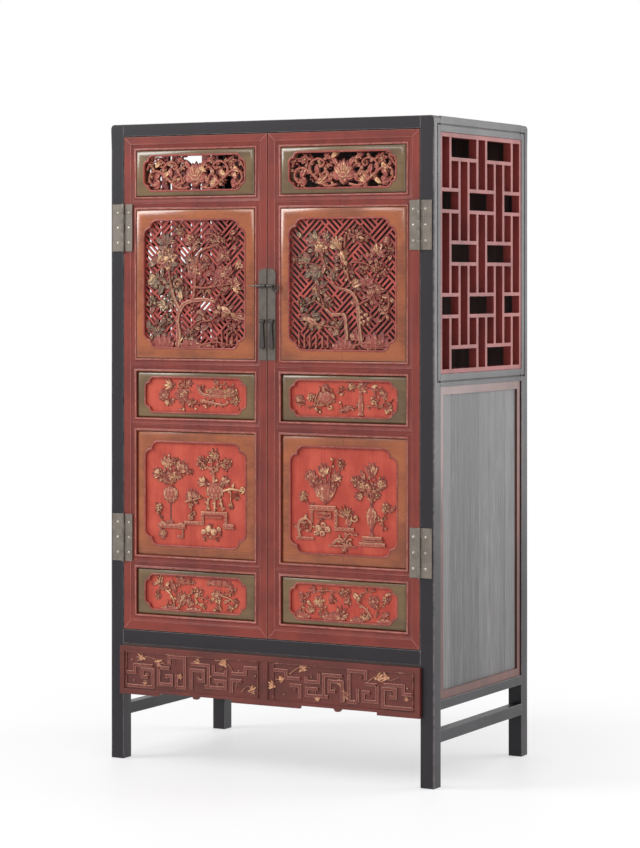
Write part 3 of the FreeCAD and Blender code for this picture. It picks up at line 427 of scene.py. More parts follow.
@dataclass(frozen=True)
class BareWood:
    """Dry oiled softwood of the inside and the back."""

    name: str
    slot: str
    colour: Rgb
    ring: Rgb
    grain: Grain = Grain.UP

    @lru_cache(maxsize=None)
    def material(self) -> bpy.types.Material:
        """The finish as a material, made once.

        Returns:
            The material.
        """
        bench = Bench(f"{self.name}_{self.grain.name.lower()}")
        place = bench.place()
        pulled = bench.stretched(place, self.grain.value)
        rings = bench.clouds(pulled, 26, 5, 0.6)
        fibre = bench.clouds(pulled, 300, 3)
        cloud = bench.clouds(place, 5, 3)
        bands = bench.add("ShaderNodeMath", {"operation": "PINGPONG"}, {0: rings * 6, 1: 1.0})
        colour = bench.mix(bench.between(bands * 0.6 + fibre * 0.4, 0.3, 0.75), self.colour, self.ring)
        colour = bench.mix(bench.between(cloud, 0.5, 0.75) * 0.35, colour, (62, 44, 32))
        bench.bump(fibre * 0.7 + bands * 0.3, 0.0005, 0.7)
        return bench.dress(Base_Color=colour, Roughness=0.62 + (fibre - 0.5) * 0.2)


Finish = Lacquer | PlankLacquer | Gilding | Brass | BareWood

# The dark colours given as dirt paint shade, partly dirt, into grooves, gaps and recesses; the worn colours also
# paint highlights on bead tops and groove walls.
BLACK = Lacquer("black_lacquer", "black_lacquer", (29, 24, 30), (19, 15, 20), (126, 120, 122), roughness=0.42,
                scuffs=0.76, wear_and_highlight=0.5, coat=0.1)
FRAME_RED = Lacquer("frame_red", "red_lacquer", (128, 49, 38), (104, 35, 28), (184, 124, 108), coat=0.1,
                    dirt=(52, 22, 18))
AMBER = Lacquer("amber_lacquer", "orange_lacquer", (156, 82, 40), (122, 58, 26), (208, 160, 110),
                dirt=(58, 42, 22), grain=Grain.ACROSS, roughness=0.3, coat=0.55, patch_scale=9.0, wear_and_highlight=0.62,
                joint_place=0.232)
OLIVE = Lacquer("olive_lacquer", "olive_lacquer", (112, 86, 52), (88, 66, 38), (168, 150, 118),
                dirt=(40, 32, 20), grain=Grain.ACROSS, roughness=0.32, coat=0.45, wear_and_highlight=0.52, joint_place=0.232)
# Its pale worn top is partly a painted highlight.
WINDOW_BEAD = Lacquer("window_bead", "red_lacquer", (150, 66, 56), (122, 46, 40), (208, 148, 130), wear_and_highlight=0.5,
                      roughness=0.33, coat=0.15, dirt=(70, 22, 18))
VERMILION = Lacquer("vermilion_ground", "vermilion_ground", (188, 79, 60), (164, 58, 44), (204, 104, 80),
                    dirt=(112, 36, 28), grain=Grain.UP, roughness=0.5, coat=0.0, patch_scale=18.0,
                    grain_share=0.55, scuffs=0.74)
FRET_RED = Lacquer("fret_red", "lattice_lacquer", (176, 78, 68), (134, 56, 50), (196, 134, 122),
                   dirt=(36, 12, 10), roughness=0.42, coat=0.1)
LATTICE_RED = Lacquer("lattice_red", "lattice_lacquer", (142, 62, 58), (114, 48, 46), (176, 112, 104),
                      roughness=0.46, coat=0.0, wear_and_highlight=0.5)
APRON_RED = Lacquer("apron_red", "apron_lacquer", (106, 46, 38), (82, 34, 28), (164, 112, 100),
                    grain=Grain.ACROSS, dirt=(46, 22, 18), coat=0.1)
MOULDING_RED = Lacquer("moulding_red", "red_lacquer", (100, 50, 38), (76, 36, 28), (158, 112, 86))
SIDE_GREY = PlankLacquer("side_planks", "side_board_lacquer", (112, 110, 110), (66, 65, 66), (150, 148, 146))
WOOD = BareWood("bare_wood", "bare_wood", (70, 52, 48), (50, 37, 36))
DARK_BRASS = Brass("dark_brass", "dark_brass", (122, 113, 104), (96, 88, 80), (158, 150, 138))
LOCK_BRASS = Brass("lock_brass", "dark_brass", (96, 87, 80), (72, 65, 60), (142, 133, 122))
PULL_BRASS = Brass("pull_brass", "dark_brass", (66, 60, 57), (48, 43, 41), (128, 120, 112), roughness=0.34)
NAIL_BRASS = Brass("nail_brass", "nail_brass", (176, 168, 152), (134, 126, 112), (226, 220, 206), roughness=0.26,
                   metal=0.45)


def only(items: Iterable[object], kind: type | tuple[type, ...]) -> list:
    """The items of one kind or of several."""
    return [item for item in items if isinstance(item, kind)]


def ends(edges: Iterable[BMEdge]) -> set[BMVert]:
    """The points of some edges."""
    return {vert for edge in edges for vert in edge.verts}


def links(verts: Iterable[BMVert]) -> set[BMEdge]:
    """The edges at some points."""
    return {edge for vert in verts for edge in vert.link_edges}


def heading(turn: float) -> Vector:
    """The way that a turn in degrees points on the front."""
    return Vector((cos(radians(turn)), 0, sin(radians(turn))))


def place_new(name: str, data: bpy.types.ID) -> bpy.types.Object:
    """Put a new object in the scene.

    Args:
        name: its name.
        data: its mesh, camera or lamp.

    Returns:
        The object.
    """
    thing = bpy.data.objects.new(name, data)
    bpy.context.scene.collection.objects.link(thing)
    return thing


class Workpiece:
    """A mesh that is being shaped, with the marks that its finish reads."""

    def __init__(self) -> None:
        """Start an empty mesh with its marks."""
        self.aside: list[bpy.types.Mesh] = []
        self.start()

    def start(self) -> None:
        """Lay out an empty mesh with its marks."""
        self.mesh = bmesh.new()
        # The edge mark pales faces: worn arrises, and a painted highlight on bead tops and groove walls.
        self.mesh.faces.layers.float.new("edge")
        # The dark mark is painted shade, partly dirt, in grooves, gaps and recesses.
        for name in ("dirt", "gilt", "leafy"):
            self.mesh.verts.layers.float.new(name)

    def put_by(self) -> None:
        """Set what is made so far aside, so that the next shapes are made quickly."""
        data = bpy.data.meshes.new("aside")
        self.mesh.to_mesh(data)
        self.mesh.free()
        self.aside.append(data)
        self.start()

    def mark(self, verts: Iterable[BMVert], name: str, share: float) -> None:
        """Write one mark on some points.

        Args:
            verts: the points.
            name: the mark: dirt and painted shade, gilt or leafy.
            share: its strength.
        """
        layer = self.mesh.verts.layers.float[name]
        for vert in verts:
            vert[layer] = share

    def wear_and_highlight(self, faces: Iterable[BMFace], share: float) -> None:
        """Mark some faces as worn.

        Args:
            Mark some faces as worn, which paints them paler: wear on arrises, and on bead tops and groove walls also
            a painted highlight.
            share: how worn they are.
        """
        layer = self.mesh.faces.layers.float["edge"]
        for face in faces:
            face[layer] = share

    def thicken(self, faces: Iterable[BMFace], depth: float) -> list[BMVert]:
        """Draw faces out along Y.

        Args:
            faces: the faces.
            depth: how far.

        Returns:
            The new points.
        """
        grown = bmesh.ops.extrude_face_region(self.mesh, geom=list(faces), use_keep_orig=True)["geom"]
        verts = only(grown, BMVert)
        bmesh.ops.translate(self.mesh, verts=verts, vec=(0, depth, 0))
        return verts

    def fill(self, edges: Sequence[BMEdge]) -> list[BMFace]:
        """Close an outline, but for the holes in it, with faces."""
        made = bmesh.ops.triangle_fill(self.mesh, edges=edges, use_beauty=True)
        return only(made["geom"], BMFace)

    def everything(self) -> list:
        """All the points, edges and faces."""
        return [*self.mesh.verts, *self.mesh.edges, *self.mesh.faces]

    def round_arrises(self, edges: Iterable[BMEdge], offset: float, segments: int = 2) -> None:
        """Round some edges and mark what was rounded as worn.

        Args:
            edges: the edges.
            offset: how far the rounding reaches.
            segments: its faces.
        """
        made = bmesh.ops.bevel(self.mesh, geom=list(edges), offset=offset, offset_type="OFFSET",
                               segments=segments, profile=0.5, affect="EDGES", material=-1)
        self.wear_and_highlight(made["faces"], 1.0)

    def block(self, low: Vector, high: Vector, arris: float = 0.0, cuts: int = 0) -> list[BMVert]:
        """Add a block between two corners.

        Args:
            low: its lowest corner.
            high: its highest corner.
            arris: how far its edges are rounded.
            cuts: how often its longest side is divided.

        Returns:
            The block's first eight points, which are gone when it is rounded.
        """
        size = high - low
        where = Matrix.Translation((low + high) / 2) @ Matrix.Diagonal((*size, 1))
        verts = bmesh.ops.create_cube(self.mesh, size=1.0, matrix=where)["verts"]
        edges = list(links(verts))
        if cuts:
            way = max(range(3), key=lambda axis: size[axis])
            long_edges = [edge for edge in edges
                          if abs((edge.verts[0].co - edge.verts[1].co)[way]) > size[way] / 2]
            made = bmesh.ops.subdivide_edges(self.mesh, edges=long_edges, cuts=cuts, use_grid_fill=True)
            edges = [edge for edge in {*edges, *only(made["geom"], BMEdge)}
                     if edge.is_valid and edge.calc_face_angle(0.0) > radians(30)]
        if arris:
            self.round_arrises(edges, arris)
        return verts

    def rectangle(self, low: Spot, high: Spot, depth: float) -> list[BMEdge]:
        """Add a rectangle of edges that faces the front.

        Args:
            low: its lower left corner in X and Z.
            high: its upper right corner in X and Z.
            depth: its place in Y.

        Returns:
            Its four edges.
        """
        centre = Vector(((low[0] + high[0]) / 2, depth, (low[1] + high[1]) / 2))
        scale = Matrix.Diagonal((high[0] - low[0], 1, high[1] - low[1], 1))
        turn = Matrix.Rotation(radians(90), 4, "X") @ Matrix.Rotation(radians(45), 4, "Z")
        where = Matrix.Translation(centre) @ scale @ turn
        verts = bmesh.ops.create_circle(self.mesh, cap_ends=False, segments=4, radius=sqrt(0.5),
                                        matrix=where)["verts"]
        return list(links(verts))

    def bridge(self, rings: Sequence[list[BMEdge]], closed: bool = False) -> None:
        """Join rings of edges one to the next.

        Args:
            rings: the rings in order.
            closed: whether the last joins the first.
        """
        pairs = list(zip(rings, rings[1:]))
        if closed:
            pairs.append((rings[-1], rings[0]))
        for first, second in pairs:
            bmesh.ops.bridge_loops(self.mesh, edges=first + second)

    def bar(self, corners: Sequence[Spot], front: float, back: float, arris: float) -> None:
        """Add a flat bar from the corners of its face, with its arrises rounded.

        Args:
            corners: the corners of its face in X and Z, in order.
            front: the place of its face in Y.
            back: the place of its back in Y.
            arris: how far its edges are rounded.
        """
        mesh = self.mesh
        verts = [mesh.verts.new((x, front, z)) for x, z in corners]
        face = bmesh.ops.contextual_create(mesh, geom=verts)["faces"][0]
        far = self.thicken([face], back - front)
        self.round_arrises(links((*verts, *far)), arris)

    def waver(self, amount: float, scale: float = 9.0) -> None:
        """Let every surface wander a little, as hand planing leaves it.

        Args:
            amount: the most that a point moves.
            scale: how many waves there are to the metre.
        """
        for vert in self.mesh.verts:
            vert.co += noise.noise_vector(vert.co * scale) * amount

    def keep_within(self, low: Vector, high: Vector) -> None:
        """Draw every point that strays outside a box back to its faces.

        Args:
            low: the box's lowest corner.
            high: its highest corner.
        """
        for vert in self.mesh.verts:
            for axis in range(3):
                vert.co[axis] = min(max(vert.co[axis], low[axis]), high[axis])

    def groove(self, plane: int, span_a: Spot, span_b: Spot, outer: float, depth: float) -> None:
        """Sink a narrow groove into a timber's outer side face, with paler walls that are partly wear and partly a
        painted highlight, and a floor darkened as painted shade.

        Args:
            plane: the axis that the groove's first span lies on, 1 for Y and 2 for Z.
            span_a: its start and end on that axis, across the groove.
            span_b: its start and end on the other axis, along the groove.
            outer: the place of the side face in X.
            depth: how deep it is.
        """
        mesh = self.mesh
        other = 3 - plane
        for axis, span in ((plane, span_a), (other, span_b)):
            way = Vector((0, 0, 0))
            way[axis] = 1
            for level in span:
                bmesh.ops.bisect_plane(mesh, geom=self.everything(), dist=WELD, plane_co=way * level,
                                       plane_no=way)
        strip = []
        for face in mesh.faces:
            middle = face.calc_center_median()
            if (abs(middle.x - outer) < 0.0004 and span_a[0] < middle[plane] < span_a[1]
                    and span_b[0] < middle[other] < span_b[1]):
                strip.append(face)
        made = bmesh.ops.inset_region(mesh, faces=strip, thickness=0.4 * MM, depth=-depth, use_even_offset=True)
        # Paler walls, partly wear and partly a painted highlight; the floor below is darkened as painted shade.
        self.wear_and_highlight(made["faces"], 1.0)
        self.mark((vert for face in strip for vert in face.verts), "dirt", 1.0)

    def set_in(self, name: str, finish: Finish, body: str = "root", stands_for: Sequence[str] = (),
               smooth: float = 0.0, flat_faces: bool = False) -> bpy.types.Object:
        """Finish the mesh and set the piece in the cabinet.

        Args:
            name: the piece's name.
            finish: its finish.
            body: the body that it rides on.
            stands_for: the nodes that it replaces.
            smooth: the angle in degrees up to which its faces shade as one, or 0 for flat faces.
            flat_faces: whether its broad faces stay flat between rounded arrises.

        Returns:
            The piece.
        """
        for part in self.aside:
            self.mesh.from_mesh(part)
            bpy.data.meshes.remove(part)
        bmesh.ops.recalc_face_normals(self.mesh, faces=self.mesh.faces)
        for face in self.mesh.faces:
            face.smooth = smooth > 0
        data = bpy.data.meshes.new(name)
        self.mesh.to_mesh(data)
        self.mesh.free()
        if smooth:
            data.set_sharp_from_angle(angle=radians(smooth))
        data.materials.append(finish.material())
        piece = place_new(name, data)
        if flat_faces:
            planed = piece.modifiers.new("planed", "WEIGHTED_NORMAL")
            planed.keep_sharp = True
        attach(piece, body)
        if stands_for:
            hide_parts(*stands_for)
        log.info("%s: %d faces on %s", name, len(data.polygons), body)
        return piece


def dress(node: str, finish: Finish, arris: float = 0.0) -> None:
    """Give a node of the frame its finish, and round its edges if asked.

    Args:
        node: the node's name.
        finish: its finish.
        arris: how far its edges are rounded.
    """
    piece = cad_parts[node]
    for slot in piece.material_slots:
        slot.material = finish.material()
    if arris:
        weld = piece.modifiers.new("weld", "WELD")
        weld.merge_threshold = WELD
        rounding = piece.modifiers.new("arris", "BEVEL")
        rounding.width = arris
        rounding.segments = 2
        rounding.limit_method = "ANGLE"
        rounding.angle_limit = radians(40)
    log.info("%s: dressed", node)


@dataclass
class Begonia:
    """The outline of a panel's window, whose corners are cut in by two round shoulders."""

    left: float
    low: float
    right: float
    high: float
    corner: float
    steps: int = 5

    def ring(self, work: Workpiece, grow: float, depth: float) -> list[BMEdge]:
        """Add the outline, grown or shrunk, as a ring of edges.

        Args:
            work: the mesh that gets it.
            grow: how far it lies outside the window's own edge.
            depth: its place in Y.

        Returns:
            Its edges.
        """
        mesh = work.mesh
        middle = Vector(((self.left + self.right) / 2, depth, (self.low + self.high) / 2))
        corner = self.corner
        radius = corner + grow
        notch = (6 * corner - sqrt(8 * radius ** 2 - 4 * corner ** 2)) / 4
        sweep = atan2(2 * corner - notch, corner - notch)
        first, tip = (mesh.verts.new((x, depth, self.low - grow)) for x in (middle.x, self.left + 2 * corner))
        mesh.edges.new((first, tip))
        for across, up in ((2, 1), (1, 2)):
            spun = bmesh.ops.spin(mesh, geom=[tip], cent=(self.left + across * corner, depth, self.low + up * corner),
                                  axis=(0, 1, 0), angle=sweep, steps=self.steps, use_merge=False)
            tip = only(spun["geom_last"], BMVert)[0]
        last = mesh.verts.new((self.left - grow, depth, middle.z))
        mesh.edges.new((tip, last))
        run = self.walk(first)
        geom = [*run, *links(run)]
        for axis in ("X", "Z"):
            made = bmesh.ops.mirror(mesh, geom=geom, matrix=Matrix.Translation(-middle), merge_dist=WELD,
                                    axis=axis)
            geom = [item for item in only({*geom, *made["geom"]}, (BMVert, BMEdge)) if item.is_valid]
        bmesh.ops.remove_doubles(mesh, verts=only(geom, BMVert), dist=WELD)
        ring = self.walk(next(vert for vert in only(geom, BMVert) if vert.is_valid))
        return list(links(ring))

    @staticmethod
    def walk(start: BMVert) -> list[BMVert]:
        """Walk along the edges from one point.

        Args:
            start: the point.

        Returns:
            All the points that edges join to it.
        """
        seen = {start}
        queue = [start]
        while queue:
            for edge in queue.pop().link_edges:
                for vert in edge.verts:
                    if vert not in seen:
                        seen.add(vert)
                        queue.append(vert)
        return list(seen)


class Section(Enum):
    """How the cross-section of a carved stroke is rounded."""

    ROUND = 1.0
    CUT = 0.32


@dataclass
class Carver:
    """Carves strokes, leaves, blossoms, birds, vases and furniture over a window's ground.

    Places are in hundredths of the window, sizes in millimetres, turns in degrees from level, and heights and
    gilding in shares, unless an argument says otherwise.
    """

    left: float
    low: float
    width: float
    height: float
    ground: float
    relief: float
    dice: random.Random
    bulk: float = 1.0
    foliage: float = 0.0
    leafy: float = 0.0
    work: Workpiece = field(default_factory=Workpiece)

    def follow(self, plan: Plan) -> None:
        """Carve a plan, in which each row names a method of this class and gives its values."""
        for motif, row in plan:
            getattr(self, motif)(*row)

    def spot(self, place: Spot) -> Vector:
        """A place in hundredths of the window, as a point on its ground."""
        return Vector((self.left + place[0] * self.width / 100, self.ground,
                       self.low + place[1] * self.height / 100))

    def path(self, places: Sequence[Spot], bends: int = 4) -> list[Vector]:
        """A smooth line through some places.

        Args:
            places: the places.
            bends: the steps from one place to the next, or 1 to keep its corners.

        Returns:
            The points of the line.
        """
        spots = [self.spot(place) for place in places]
        if bends == 1 or len(spots) < 3:
            return spots
        line = [spots[0]]
        for number in range(len(spots) - 1):
            here, there = spots[number], spots[number + 1]
            before = spots[max(number - 1, 0)]
            after = spots[min(number + 2, len(spots) - 1)]
            run = geometry.interpolate_bezier(here, here + (there - before) / 6, there - (after - here) / 6,
                                              there, bends + 1)
            line += [Vector(point) for point in run[1:]]
        return line

    def stroke(self, line: Sequence[Vector], start: float, end: float, rise: float, gilt: float = 0.3,
               section: Section = Section.ROUND, knots: float = 0.0, leafy: float = 0.0) -> None:
        """Carve a ribbon along a line.

        Args:
            line: the points that it follows.
            start: its width at the first point, in metres.
            end: its width at the last point, in metres.
            rise: its height.
            gilt: its gilding.
            section: how its cross-section is rounded.
            knots: how much its width wanders, in shares.
            leafy: its share of the leaves' colour.
        """
        mesh = self.work.mesh
        sides = 8
        turn = Matrix.Rotation(pi / sides, 4, "Z")
        ring = bmesh.ops.create_cone(mesh, cap_ends=True, segments=sides, radius1=1, radius2=1, depth=0.1,
                                     matrix=turn)["verts"]
        for vert in ring:
            vert.co.x = copysign(abs(vert.co.x) ** section.value, vert.co.x)
            vert.co.y = copysign(abs(vert.co.y) ** section.value, vert.co.y)
        caps = [face for face in {face for vert in ring for face in vert.link_faces} if len(face.verts) == sides]
        face = max(caps, key=lambda cap: cap.calc_center_median().z)
        lower = min(caps, key=lambda cap: cap.calc_center_median().z)
        last_place = None
        made = set(ring)
        for number, here in enumerate(line):
            ahead = (line[min(number + 1, len(line) - 1)] - here)
            behind = (here - line[max(number - 1, 0)])
            ahead = ahead.normalized() if ahead.length else behind.normalized()
            behind = behind.normalized() if behind.length else ahead
            way = (ahead + behind).normalized()
            mitre = min(1 / max(way.dot(ahead), 0.5), 1.5)
            share = number / (len(line) - 1)
            width = start + (end - start) * share
            wide = width / 2 * (1 + knots * self.dice.uniform(-1, 1))
            side = way.cross(Vector((0, -1, 0)))
            tall = self.relief * rise * min(1.0, 0.55 + 0.45 * width / max(start, end))
            place = Matrix((
                (side.x * wide * mitre, 0, way.x, here.x),
                (side.y * wide * mitre, -tall, way.y, here.y),
                (side.z * wide * mitre, 0, way.z, here.z),
                (0, 0, 0, 1)))
            if number == 0:
                flat = Matrix.Diagonal((1, 1, 0.0001, 1))
                bmesh.ops.transform(mesh, matrix=place @ flat, verts=list(lower.verts) + list(face.verts))
                for vert in lower.verts:
                    vert.co -= way * min(wide, 0.001) * 0.5
            else:
                face = bmesh.ops.extrude_discrete_faces(mesh, faces=[face])["faces"][0]
                bmesh.ops.transform(mesh, matrix=place @ last_place.inverted(), verts=list(face.verts))
                made.update(face.verts)
            last_place = place
        self.work.mark(made, "gilt", gilt)
        self.work.mark(made, "leafy", leafy)
        self.work.put_by()

    def branch(self, width: float, places: Sequence[Spot], gilt: float = 0.3, thin: float = 0.45,
               rise: float = 1.0) -> None:
        """Carve a knotty branch.

        Args:
            width: its width at the start.
            places: the places that it passes.
            gilt: its gilding.
            thin: its width at the end, in shares of the start.
            rise: its height.
        """
        line = self.path(places)
        wide = width * self.bulk * MM
        self.stroke(line, wide, wide * thin, rise, gilt, knots=0.2, leafy=self.tone(places[-1]) * 0.8)
        if self.foliage and width < 8:
            self.leaf_out(line, gilt)

    def tone(self, place: Spot) -> float:
        """How much of the leaves' colour a place has, less towards the right."""
        return self.leafy * (1.15 - place[0] / 100) * self.dice.uniform(0.6, 1.2)

    def leaf_out(self, line: Sequence[Vector], gilt: float) -> None:
        """Carve small leaves to either side of a branch.

        Args:
            line: the branch's line.
            gilt: the branch's gilding.
        """
        hand = self.dice.choice(HANDS)
        walked = self.foliage * 0.4 * MM
        for here, there in zip(line, line[1:]):
            walked += (there - here).length
            if walked < self.foliage * 0.72 * MM:
                continue
            walked = 0.0
            hand = -hand
            way = there - here
            turn = degrees(atan2(way.z, way.x)) + hand * self.dice.uniform(38, 68)
            length = self.foliage * self.dice.uniform(0.7, 1.15) * MM
            centre = there + heading(turn) * length * 0.5
            across = (centre.x - self.left) / self.width * 100
            self.swell(centre, turn, (length * 0.52, length * 0.24), self.dice.uniform(0.6, 0.95),
                       gilt + self.dice.uniform(-0.1, 0.5), self.leaf_shape, self.tone((across, 0)))

    def bar(self, width: float, places: Sequence[Spot], gilt: float = 0.5, studs: bool = False,
            rise: float = 0.9) -> None:
        """Carve a square ribbon that keeps its corners.

        Args:
            width: its width.
            places: its corners.
            gilt: its gilding.
            studs: whether a row of knobs runs along it.
            rise: its height.
        """
        line = self.path(places, 1)
        self.stroke(line, width * MM, width * MM, rise, gilt * 0.6, Section.CUT)
        if studs:
            self.studs(line, width * 1.15 * MM, width * 0.34 * MM, gilt + 0.35)

    def studs(self, line: Sequence[Vector], step: float, half: float, gilt: float) -> None:
        """Carve a row of small knobs along a line.

        Args:
            line: the line.
            step: from one knob to the next, in metres.
            half: half the width of a knob, in metres.
            gilt: their gilding.
        """
        for here, there in zip(line, line[1:]):
            way = there - here
            count = max(1, round(way.length / step))
            for number in range(count):
                self.swell(here + way * ((number + 0.5) / count), 45, (half, half), 1.12, gilt)

    def tufts(self, places: Sequence[tuple[float, float, float]], count: int = 9, gilt: float = 0.3) -> None:
        """Carve low leaves that crowd round some places, in two rows round each.

        Args:
            places: the middle of each tuft, and how wide it spreads.
            count: the leaves in an outer row.
            gilt: their gilding.
        """
        for *place, size in places:
            for row, share in ((count, 0.5), (count * 2 // 3, 0.3)):
                first = self.dice.uniform(0, 360)
                for number in range(row):
                    angle = first + (number + self.dice.uniform(-0.3, 0.3)) * 360 / row
                    length = size * self.dice.uniform(0.3, 0.46) * MM
                    reach = size * share * self.dice.uniform(0.72, 1.1) * MM
                    self.swell(self.spot(place) + heading(angle) * (reach - length * 0.2),
                               angle + self.dice.uniform(-35, 35),
                               (length * 0.5, length * self.dice.uniform(0.2, 0.28)), self.dice.uniform(0.5, 0.85),
                               gilt * self.dice.uniform(0.3, 1.7), self.leaf_shape, self.tone(place))

    def swell(self, centre: Vector, turn: float, half: Spot, rise: float, gilt: float,
              shape: Callable[[Vector], None] | None = None, leafy: float = 0.0) -> None:
        """Carve one swelling.

        Args:
            centre: its middle on the ground.
            turn: how far it is turned from level.
            half: half its length and half its width, in metres.
            rise: its height.
            gilt: its gilding.
            shape: what reshapes a point of it while it is still a ball of radius 1 along X.
            leafy: its share of the leaves' colour.
        """
        mesh = self.work.mesh
        verts = bmesh.ops.create_uvsphere(mesh, u_segments=8, v_segments=6, radius=1.0,
                                          matrix=Matrix.Rotation(radians(90), 4, "Y"))["verts"]
        if shape:
            for vert in verts:
                shape(vert.co)
        where = (Matrix.Translation(centre) @ Matrix.Rotation(radians(-turn), 4, "Y")
                 @ Matrix.Diagonal((half[0], self.relief * rise, half[1], 1)))
        bmesh.ops.transform(mesh, matrix=where, verts=verts)
        self.work.mark(verts, "gilt", gilt)
        self.work.mark(verts, "leafy", leafy)
        if len(mesh.verts) > CROWD:
            self.work.put_by()

    @staticmethod
    def leaf_shape(point: Vector) -> None:
        """Draw a ball out into a pointed leaf with a sunk rib.

        Args:
            point: the point of the ball that is moved.
        """
        point.z *= 1.0 - 0.5 * abs(point.x) ** 1.6
        point.y *= 0.5 + 0.75 * min(1.0, abs(point.z) * 1.5)
        point.y += 0.16 * point.x

    @staticmethod
    def petal_shape(point: Vector) -> None:
        """Draw a ball out into a petal that is broad at its tip.

        Args:
            point: the point of the ball that is moved.
        """
        point.z *= 0.74 + 0.34 * point.x
        point.y *= 0.55 + 0.6 * min(1.0, abs(point.z) * 1.4)
        point.y -= 0.22 * point.x

    def leaf(self, place: Spot, turn: float, length: float, width: float, gilt: float = 0.55,
             rise: float = 0.85) -> None:
        """Carve a leaf whose middle is at a place and whose tip points the way of a turn."""
        size = self.bulk / 2 * MM
        self.swell(self.spot(place), turn, (length * size, width * size * 1.15), rise, gilt, self.leaf_shape,
                   self.tone(place))

    def mound(self, place: Spot, turn: float, length: float, width: float, gilt: float, rise: float = 1.1,
              pointed: bool = False) -> None:
        """Carve a plain swelling, given half its length and width, and point its ends if asked."""
        self.swell(self.spot(place), turn, (length * MM, width * MM), rise, gilt,
                   self.leaf_shape if pointed else None)

    def bud(self, place: Spot, size: float, gilt: float = 0.8, rise: float = 0.9) -> None:
        """Carve a round bud or berry."""
        half = size * self.bulk / 2 * MM
        self.swell(self.spot(place), 0, (half, half), rise, gilt)

    def flower(self, place: Spot, size: float, petals: int = 6, gilt: float = 0.9, rows: int = 2,
               turn: float = 10.0) -> None:
        """Carve an open blossom.

        Args:
            place: its middle.
            size: its width.
            petals: its petals in a row.
            gilt: its gilding.
            rows: its rows of petals.
            turn: how far it is turned.
        """
        centre = self.spot(place)
        size *= self.bulk
        if size > 26:
            rows += 1
        for row in range(rows):
            reach = size / 2 * (1 - 0.74 * row / rows) * MM
            rise = 0.7 + 0.45 * row / rows
            for number in range(petals):
                angle = turn + row * 180 / petals + number * 360 / petals
                half = (reach * 0.42, reach * 0.36 * 6 / petals)
                self.swell(centre + heading(angle) * reach * 0.6, angle, half, rise,
                           gilt * self.dice.uniform(0.5, 1.05), self.petal_shape, self.tone(place) * 0.6)
        self.swell(centre, 0, (size * 0.13 * MM, size * 0.13 * MM), 1.12, gilt)

    def spray(self, place: Spot, turn: float, spread: float, count: int, length: float, width: float,
              gilt: float = 0.55, rise: float = 0.8) -> None:
        """Carve leaves that fan out from one place.

        Args:
            place: where they start.
            turn: the way that the middle one points.
            spread: the angle that they span.
            count: how many there are.
            length: the length of the middle one.
            width: the width of each.
            gilt: their gilding.
            rise: their height.
        """
        centre = self.spot(place)
        for number in range(count):
            share = number / (count - 1) - 0.5 if count > 1 else 0.0
            angle = turn + share * spread
            reach = length * self.bulk * (1 - 0.35 * abs(share)) * MM
            self.swell(centre + heading(angle) * reach / 2, angle, (reach / 2, width * self.bulk * 0.58 * MM),
                       rise * self.dice.uniform(0.85, 1.15), gilt * self.dice.uniform(0.6, 1.15),
                       self.leaf_shape, self.tone(place))

    def bird(self, place: Spot, turn: float, size: float, gilt: float = 0.9) -> None:
        """Carve a bird with a lifted wing.

        Args:
            place: the middle of its body.
            turn: the way that its head points.
            size: its length.
            gilt: its gilding.
        """
        centre = self.spot(place)
        size *= min(self.bulk, 1.15) * MM
        gilt *= 0.7
        way = heading(turn)
        up = Vector((-way.z, 0, way.x))
        for ahead, above, lean, long, wide, rise, shape in (
                (0, 0, 0, 0.27, 0.13, 1.15, None), (0.3, 0.08, 0, 0.1, 0.09, 1.2, None),
                (0.43, 0.07, -12, 0.07, 0.025, 1.0, self.leaf_shape)):
            self.swell(centre + (way * ahead + up * above) * size, turn + lean, (size * long, size * wide), rise,
                       gilt, shape)
        for count, ahead, lean, long in ((4, -0.02, 122, 0.42), (3, -0.22, 180, 0.5)):
            root = centre + way * size * ahead
            for number in range(count):
                angle = turn + lean + (number - (count - 1) / 2) * 17
                reach = size * long * (1 - 0.12 * number)
                self.swell(root + heading(angle) * reach * 0.5, angle, (reach * 0.5, size * 0.05), 1.05,
                           gilt * 0.9, self.leaf_shape)

    def rock(self, place: Spot, width: float, height: float, gilt: float = 0.45) -> None:
        """Carve a rock of steep ridges that stands on a place.

        Args:
            place: the middle of its foot.
            width: its width.
            height: its height.
            gilt: its gilding.
        """
        foot = self.spot(place)
        count = max(3, round(width / 13))
        for number in range(count):
            share = (number + 0.5) / count
            tall = height * (0.35 + 0.65 * sin(pi * share)) * self.dice.uniform(0.8, 1.05) * MM
            lean = (share - 0.5) * 50 + self.dice.uniform(-8, 8)
            base = foot + Vector(((share - 0.5) * width * MM, 0, 0))
            self.swell(base + heading(90 - lean) * tall * 0.4, 90 - lean, (tall * 0.6, width / count * 0.95 * MM),
                       self.dice.uniform(0.7, 1.1), gilt * self.dice.uniform(0.4, 1.3), self.leaf_shape)
        half = Vector((width / 2 * MM, 0, 0))
        self.stroke([foot - half, foot, foot + half], 7 * MM, 6 * MM, 0.7, gilt * 0.5)

    def stakes(self, places: Sequence[Spot], height: float, width: float = 7.0) -> None:
        """Carve a row of upright stakes.

        Args:
            places: the foot of each.
            height: the height of the first, from which the rest differ a little.
            width: the width of each.
        """
        for place in places:
            foot = self.spot(place)
            tip = foot + Vector((self.dice.uniform(-1, 1) * MM, 0, height * self.dice.uniform(0.8, 1.2) * MM))
            self.stroke([foot, foot.lerp(tip, 0.8), tip], width * MM, width * 0.5 * MM, 0.8, 0.35)

